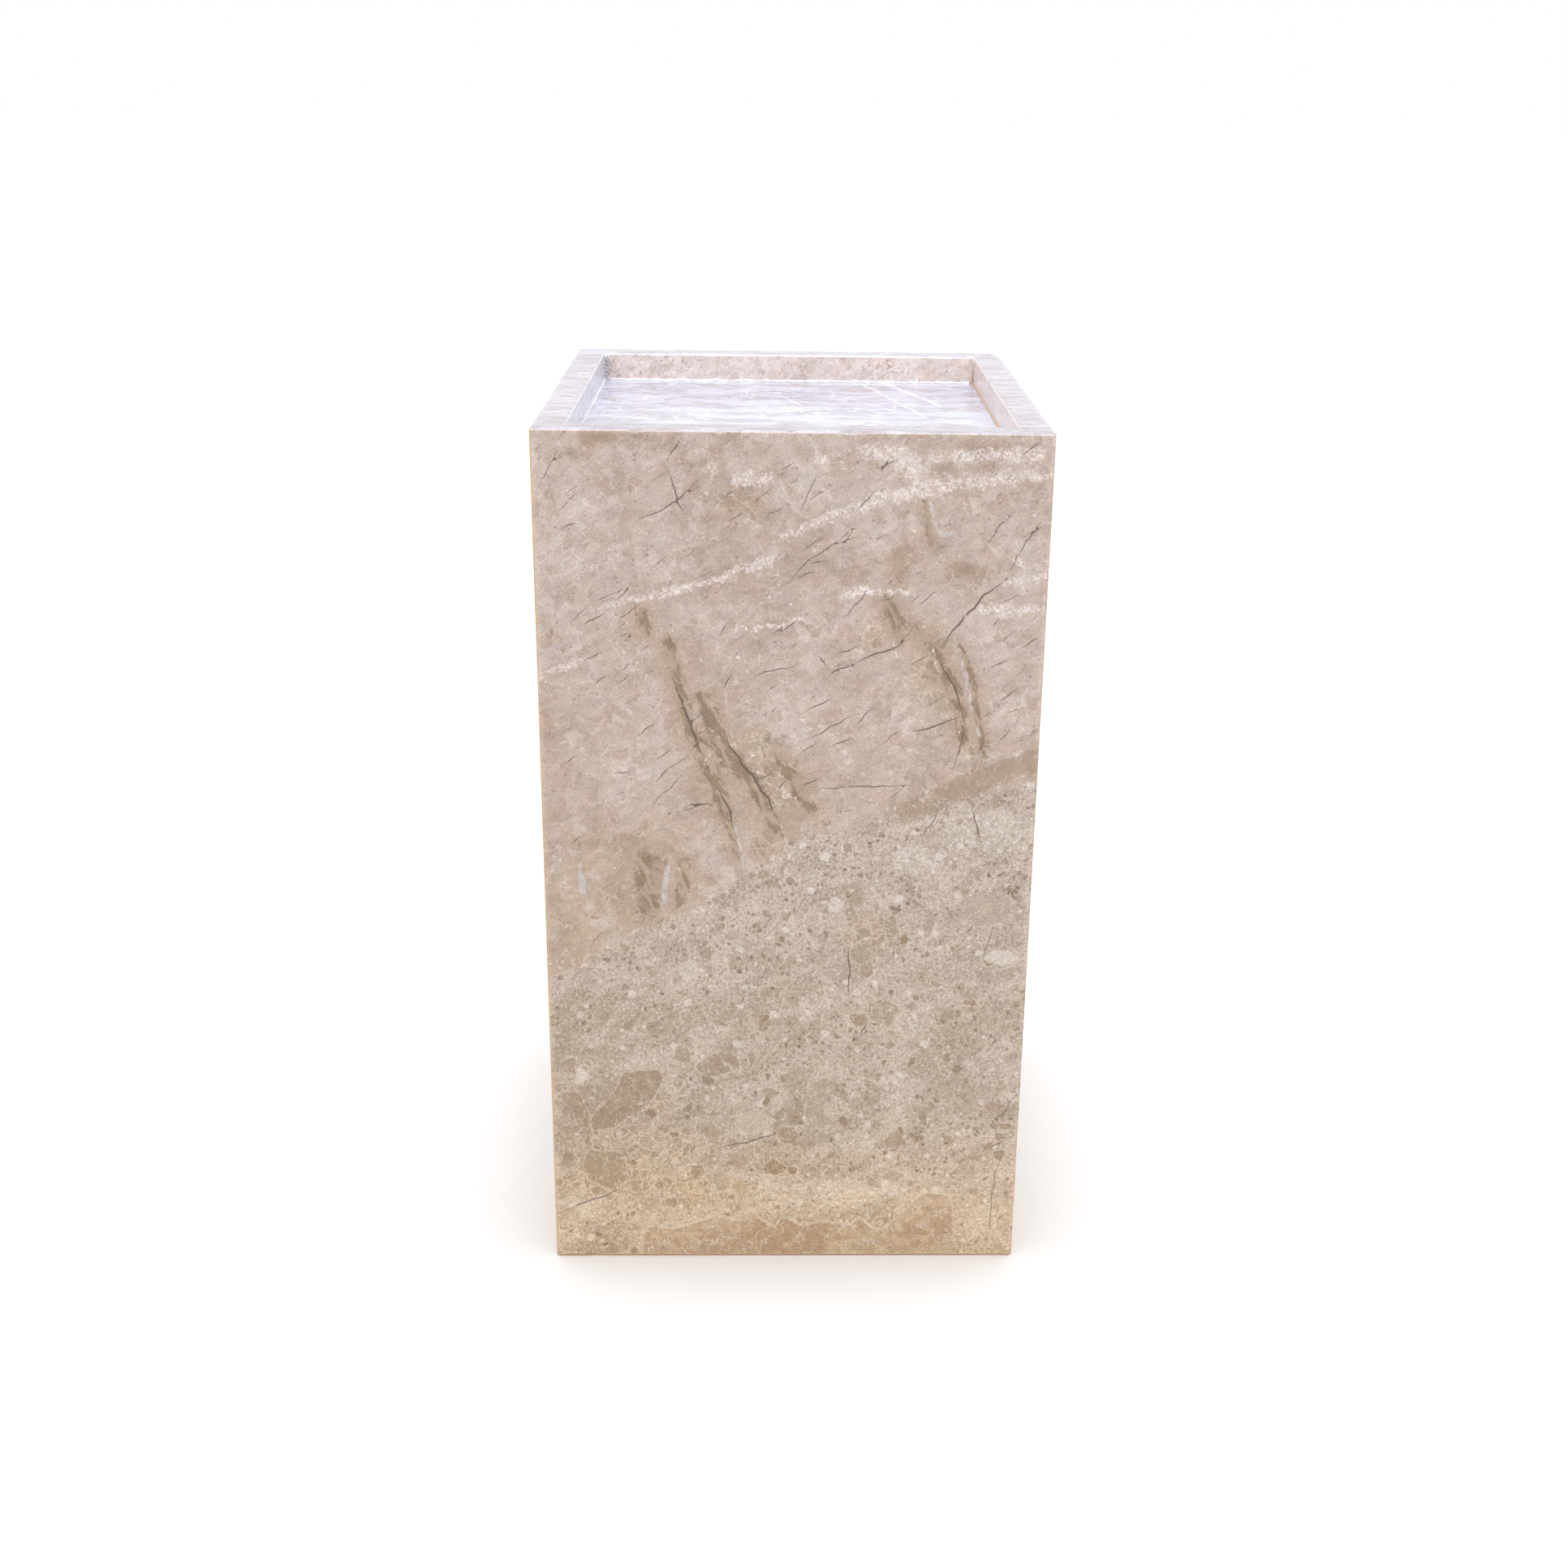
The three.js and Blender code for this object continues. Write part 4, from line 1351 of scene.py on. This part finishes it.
# %% Form: a shape under construction
class Form(Nodes):
    """A geometry tree with named inputs. Its piece is a plain mesh, without the tree."""

    def __init__(self, name):
        self.tree = bpy.data.node_groups.new(name, "GeometryNodeTree")
        self.tree.interface.new_socket("Geometry", in_out="OUTPUT", socket_type="NodeSocketGeometry")
        self.entry = self.tree.nodes.new("NodeGroupInput")
        self.values = {}

    def sizes(self, **given):
        """Named inputs of the tree, each with the value that this piece gives it."""
        kinds = {float: "Float", int: "Int", tuple: "Vector"}
        for name, value in given.items():
            kind = "NodeSocket" + kinds[type(value)]
            socket = self.tree.interface.new_socket(name, in_out="INPUT", socket_type=kind)
            self.values[socket.identifier] = value
        return [Wire(self, self.entry.outputs[name]) for name in given]

    def vector(self, x, y, z):
        return self.node("ShaderNodeCombineXYZ", {}, {0: x, 1: y, 2: z})

    def moved(self, shape, place):
        inputs = {"Geometry": shape, "Translation": place}
        return self.node("GeometryNodeTransform", {}, inputs)

    def at_points(self, points, shape, **more):
        """A copy of the shape at each point; Rotation and Scale may be given."""
        inputs = {"Points": points, "Instance": shape, **more}
        return self.node("GeometryNodeInstanceOnPoints", {}, inputs)

    def square(self, side):
        inputs = {"Width": side, "Height": side}
        return self.node("GeometryNodeCurvePrimitiveQuadrilateral", {}, inputs)

    def uneven(self, size, low, high, seed):
        """A number from low to high that wanders along the path, with lumps size metres long."""
        noise = self.node("ShaderNodeTexNoise", {"noise_dimensions": "4D"},
                          {"W": seed, "Scale": 1 / size, "Detail": 3.0})
        inputs = {0: noise, 1: 0.3, 2: 0.7, 3: low, 4: high}
        return self.node("ShaderNodeMapRange", {}, inputs)

    def tube(self, curve, radius):
        """A round bead along a curve, with its own radius at each point."""
        around = self.node("GeometryNodeCurvePrimitiveCircle", {}, {"Resolution": 9, "Radius": 1.0})
        inputs = {"Curve": curve, "Profile Curve": around, "Scale": radius, "Fill Caps": True}
        return self.node("GeometryNodeCurveToMesh", {}, inputs)

    def piece(self, name, shape, material):
        shape = self.node("GeometryNodeRealizeInstances", {}, {0: shape})
        shape = self.node("GeometryNodeSetShadeSmooth", {}, {0: shape})
        shape = self.node("GeometryNodeSetMaterial", {}, {"Geometry": shape, "Material": material})
        leave = self.tree.nodes.new("NodeGroupOutput")
        self.tree.links.new(shape.socket, leave.inputs["Geometry"])
        carrier = place_object(name + "_carrier", bpy.data.meshes.new(name + "_carrier"))
        modifier = carrier.modifiers.new("form", "NODES")
        modifier.node_group = self.tree
        for identifier, value in self.values.items():
            modifier[identifier] = value
        evaluated = carrier.evaluated_get(bpy.context.evaluated_depsgraph_get())
        mesh = bpy.data.meshes.new_from_object(evaluated)
        carrier.modifiers.remove(modifier)
        bpy.data.objects.remove(carrier)
        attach(place_object(name, mesh), "root")
        print(f"{name}: {len(mesh.polygons)} faces, {open_edge_count(mesh)} open edges")


# %% [markdown]
# Resin is clear where it is thin and milky where it is full of air. Here it is read as milky white
# at the back and brown along the right wall; the brown in the front left joint is a painted
# reflection of warm light.

# %% Mix the resin
def resin_finish():
    g = Graph("bonding_resin")
    place = g.place()
    across, along, up = g.parts(place)
    lumps = g.noise(place, 4, detail=3)
    fine = g.noise(place, 0.9, detail=2)
    colour = g.mix(linear(222, 214, 212), linear(240, 238, 240), g.step(lumps, 0.4, 0.6))
    right_wall = g.step(across, INNER_HALF - 4, INNER_HALF - 1.5) * g.step(up, HEIGHT - 5, HEIGHT - 12)
    # The front left joint's brown is a painted reflection of warm light.
    front_left = g.step(across, 10 - HALF, 5 - HALF) * g.step(along, 10 - HALF, 5 - HALF)
    brown = g.mix(linear(196, 160, 120), linear(166, 130, 92), lumps)
    colour = g.mix(colour, brown, right_wall.over(front_left) * 0.9)
    colour = g.shade(colour, 1 + 0.2 * (fine - 0.5))
    return g.finish(colour, 0.28 + 0.3 * (lumps - 0.5), lumps + 0.4 * fine, 0.3, 0.5, IOR=1.55)


resin = resin_finish()

# %% [markdown]
# The bead follows a square path just above the tray. Its radius wanders along the path, and it is
# fatter along the back wall, where more resin was squeezed out.

# %% The bead round the tray's foot
FATTER, FATTENS_FROM, FATTENS_TO = 1.45, 11, 1  # how many times; millimetres from the back wall
form = Form("bead_round_the_tray")
side, thickness, spacing, seed = form.sizes(
    Side=(2 * INNER_HALF - 0.3) * MM, Radius=0.85 * MM, Spacing=1.2 * MM, Seed=4.0)
loop = {"Curve": form.square(side), "Length": spacing}
loop = form.node("GeometryNodeResampleCurve", {"mode": "LENGTH"}, loop)
along = form.node("ShaderNodeSeparateXYZ", {}, {0: form.node("GeometryNodeInputPosition")}, "Y")
reach = {1: (INNER_HALF - FATTENS_FROM) * MM, 2: (INNER_HALF - FATTENS_TO) * MM}
fatter = form.node("ShaderNodeMapRange", {}, {0: along, **reach, 3: 1.0, 4: FATTER})
bead = form.tube(loop, thickness * form.uneven(0.006, 0.55, 1.5, seed) * fatter)
form.piece("tray_bead", form.moved(bead, (0, 0, (TRAY_TOP + 0.1) * MM)), resin)

# %% [markdown]
# One bead is made upright and copied to the four corners of a square. Realize Instances then turns
# the copies into one mesh.

# %% Beads up the four inner corners
form = Form("beads_up_the_corners")
side, thickness, rise, seed = form.sizes(
    Side=(2 * INNER_HALF - 0.5) * MM, Radius=0.7 * MM, Rise=(HEIGHT - TRAY_TOP - 1.6) * MM, Seed=9.0)
upright = {"Start": (0, 0, 0), "End": form.vector(0, 0, rise)}
upright = {"Curve": form.node("GeometryNodeCurvePrimitiveLine", {}, upright), "Count": 18}
upright = form.node("GeometryNodeResampleCurve", {"mode": "COUNT"}, upright)
bead = form.tube(upright, thickness * form.uneven(0.004, 0.4, 1.4, seed))
beads = form.at_points(form.square(side), bead)
form.piece("corner_beads", form.moved(beads, (0, 0, TRAY_TOP * MM)), resin)

# %% [markdown]
# The flakes are crumbs of resin that stuck in the corner: small balls, drawn out and turned by
# chance, strewn in a narrow box. The fixed seed keeps them the same on every run.

# %% Pale flakes in the back left corner
ALONG_BACK, ALONG_LEFT = 4.8, 2.4  # millimetres that the flakes spread from the corner
BESIDE_WALL = (INNER_HALF - 0.2) * MM
form = Form("flakes_in_a_corner")
count, low, high, flake_size, seed = form.sizes(
    Count=90, Low=(-BESIDE_WALL, (INNER_HALF - ALONG_LEFT) * MM, (TRAY_TOP + 0.4) * MM),
    High=((ALONG_BACK - INNER_HALF) * MM, BESIDE_WALL, (HEIGHT - 1.6) * MM), Flake=0.55 * MM, Seed=12)


def chance(low, high, extra):
    """A random vector for each flake; the extra number keeps the draws apart."""
    shift = form.node("FunctionNodeInputInt", {"integer": extra})
    inputs = {0: low, 1: high, 8: shift + seed}
    return form.node("FunctionNodeRandomValue", {"data_type": "FLOAT_VECTOR"}, inputs)


points = {"Count": count, "Position": chance(low, high, 1)}
flake = form.node("GeometryNodeMeshIcoSphere", {}, {"Radius": flake_size, "Subdivisions": 1})
flakes = form.at_points(
    form.node("GeometryNodePoints", {}, points), flake,
    Rotation=chance((0, 0, 0), (6.28, 6.28, 6.28), 2), Scale=chance((0.3, 0.3, 0.8), (1.0, 0.7, 2.6), 3))
form.piece("corner_flakes", flakes, resin)

# %% [markdown]
# The fill of a mitre is a sheet that stands on the diagonal. Its outline is drawn once, with the
# outer corners cut back where the arrises are, and the tree turns it a quarter three times.

# %% The resin in the four mitres
DIAGONAL = math.sqrt(2)  # a mitre runs out by this much for each step to the side
form = Form("fill_of_the_mitres")
thick, foot, outer, middle, inner, rim_level, arris_leg = form.sizes(
    Thickness=(JOINT - 0.02) * MM, Low=0.5 * MM, Outer=((HALF - ARRIS / 2) * DIAGONAL - 0.05) * MM,
    Middle=(HALF - ARRIS) * DIAGONAL * MM, Inner=(INNER_HALF * DIAGONAL + 0.1) * MM,
    Rim=(HEIGHT - 0.06) * MM, Arris=ARRIS * MM)


def block(low_x, high_x, low_z, high_z):
    """A box as thick as the joint that stands on the diagonal, between two radii and two heights."""
    size = form.vector(high_x - low_x, thick, high_z - low_z)
    box = form.node("GeometryNodeMeshCube", {}, {"Size": size})
    return form.moved(box, form.vector((high_x + low_x) * 0.5, 0, (high_z + low_z) * 0.5))


fill = form.node("GeometryNodeJoinGeometry")
for part in (block(inner, middle, foot, rim_level), block(middle, outer, arris_leg, rim_level - arris_leg)):
    form.tree.links.new(part.socket, fill.socket.node.inputs[0])
quarters = form.node("GeometryNodePoints", {}, {"Count": 4, "Position": (0, 0, 0)})
turn = form.node("GeometryNodeInputIndex") * (math.pi / 2) + math.pi / 4
form.piece("joint_fills", form.at_points(quarters, fill, Rotation=form.vector(0, 0, turn)), resin)

# %% [markdown]
# ## Floor, light and view
# The portrait is cut out on white. A pale floor under a white world gives that without a trick, as
# long as the floor is lit a little more than the world itself. An overhead light that is turned
# straight down does so: it brightens the floor, the rim and the tray, and leaves the upright faces
# alone. It is slightly blue, like the open sky, and the floor is slightly warm, which evens it out.
# A small softbox hangs behind the plane of the front face and reaches only the inside of the rim.

# %% Floor, light and view
FLOOR_SIZE, FLOOR_DROP = 40, 0.0002  # metres; the drop keeps the floor off the underside
OVERHEAD_POWER, OVERHEAD_SPREAD = 1.6, math.radians(16)
SOFTBOX_POWER, SOFTBOX_SIZE = 1.6, (0.5, 0.12)
SOFTBOX_PLACE, SOFTBOX_AIM = Vector((0, -0.11, 1.05)), Vector((0, 0.13, 0.54))

bpy.ops.mesh.primitive_plane_add(size=FLOOR_SIZE, location=(0, 0, -FLOOR_DROP))
floor = bpy.context.object
floor.name = "floor"
floor.data.materials.append(Graph("floor_paint").finish((0.88, 0.83, 0.76, 1), 0.9))

world = bpy.data.worlds.new("studio")
bpy.context.scene.world = world
world.use_nodes = True
sky = world.node_tree.nodes["Background"].inputs
sky["Color"].default_value, sky["Strength"].default_value = (1.0, 1.0, 1.0, 1), 1.0

overhead = place_object("overhead", bpy.data.lights.new("overhead", "SUN"))
overhead.data.energy, overhead.data.angle = OVERHEAD_POWER, OVERHEAD_SPREAD
overhead.data.color = (0.60, 0.74, 1.0)

softbox = place_object("softbox", bpy.data.lights.new("softbox", "AREA"))
softbox.data.shape, softbox.data.energy = "RECTANGLE", SOFTBOX_POWER
softbox.data.size, softbox.data.size_y = SOFTBOX_SIZE
softbox.data.color = (0.86, 0.92, 1.0)
softbox.location = SOFTBOX_PLACE
softbox.rotation_mode = "QUATERNION"
softbox.rotation_quaternion = (SOFTBOX_AIM - SOFTBOX_PLACE).to_track_quat("-Z", "Y")
softbox.visible_camera = False
bpy.context.scene.view_settings.view_transform = "Standard"
print("floor and light are ready")
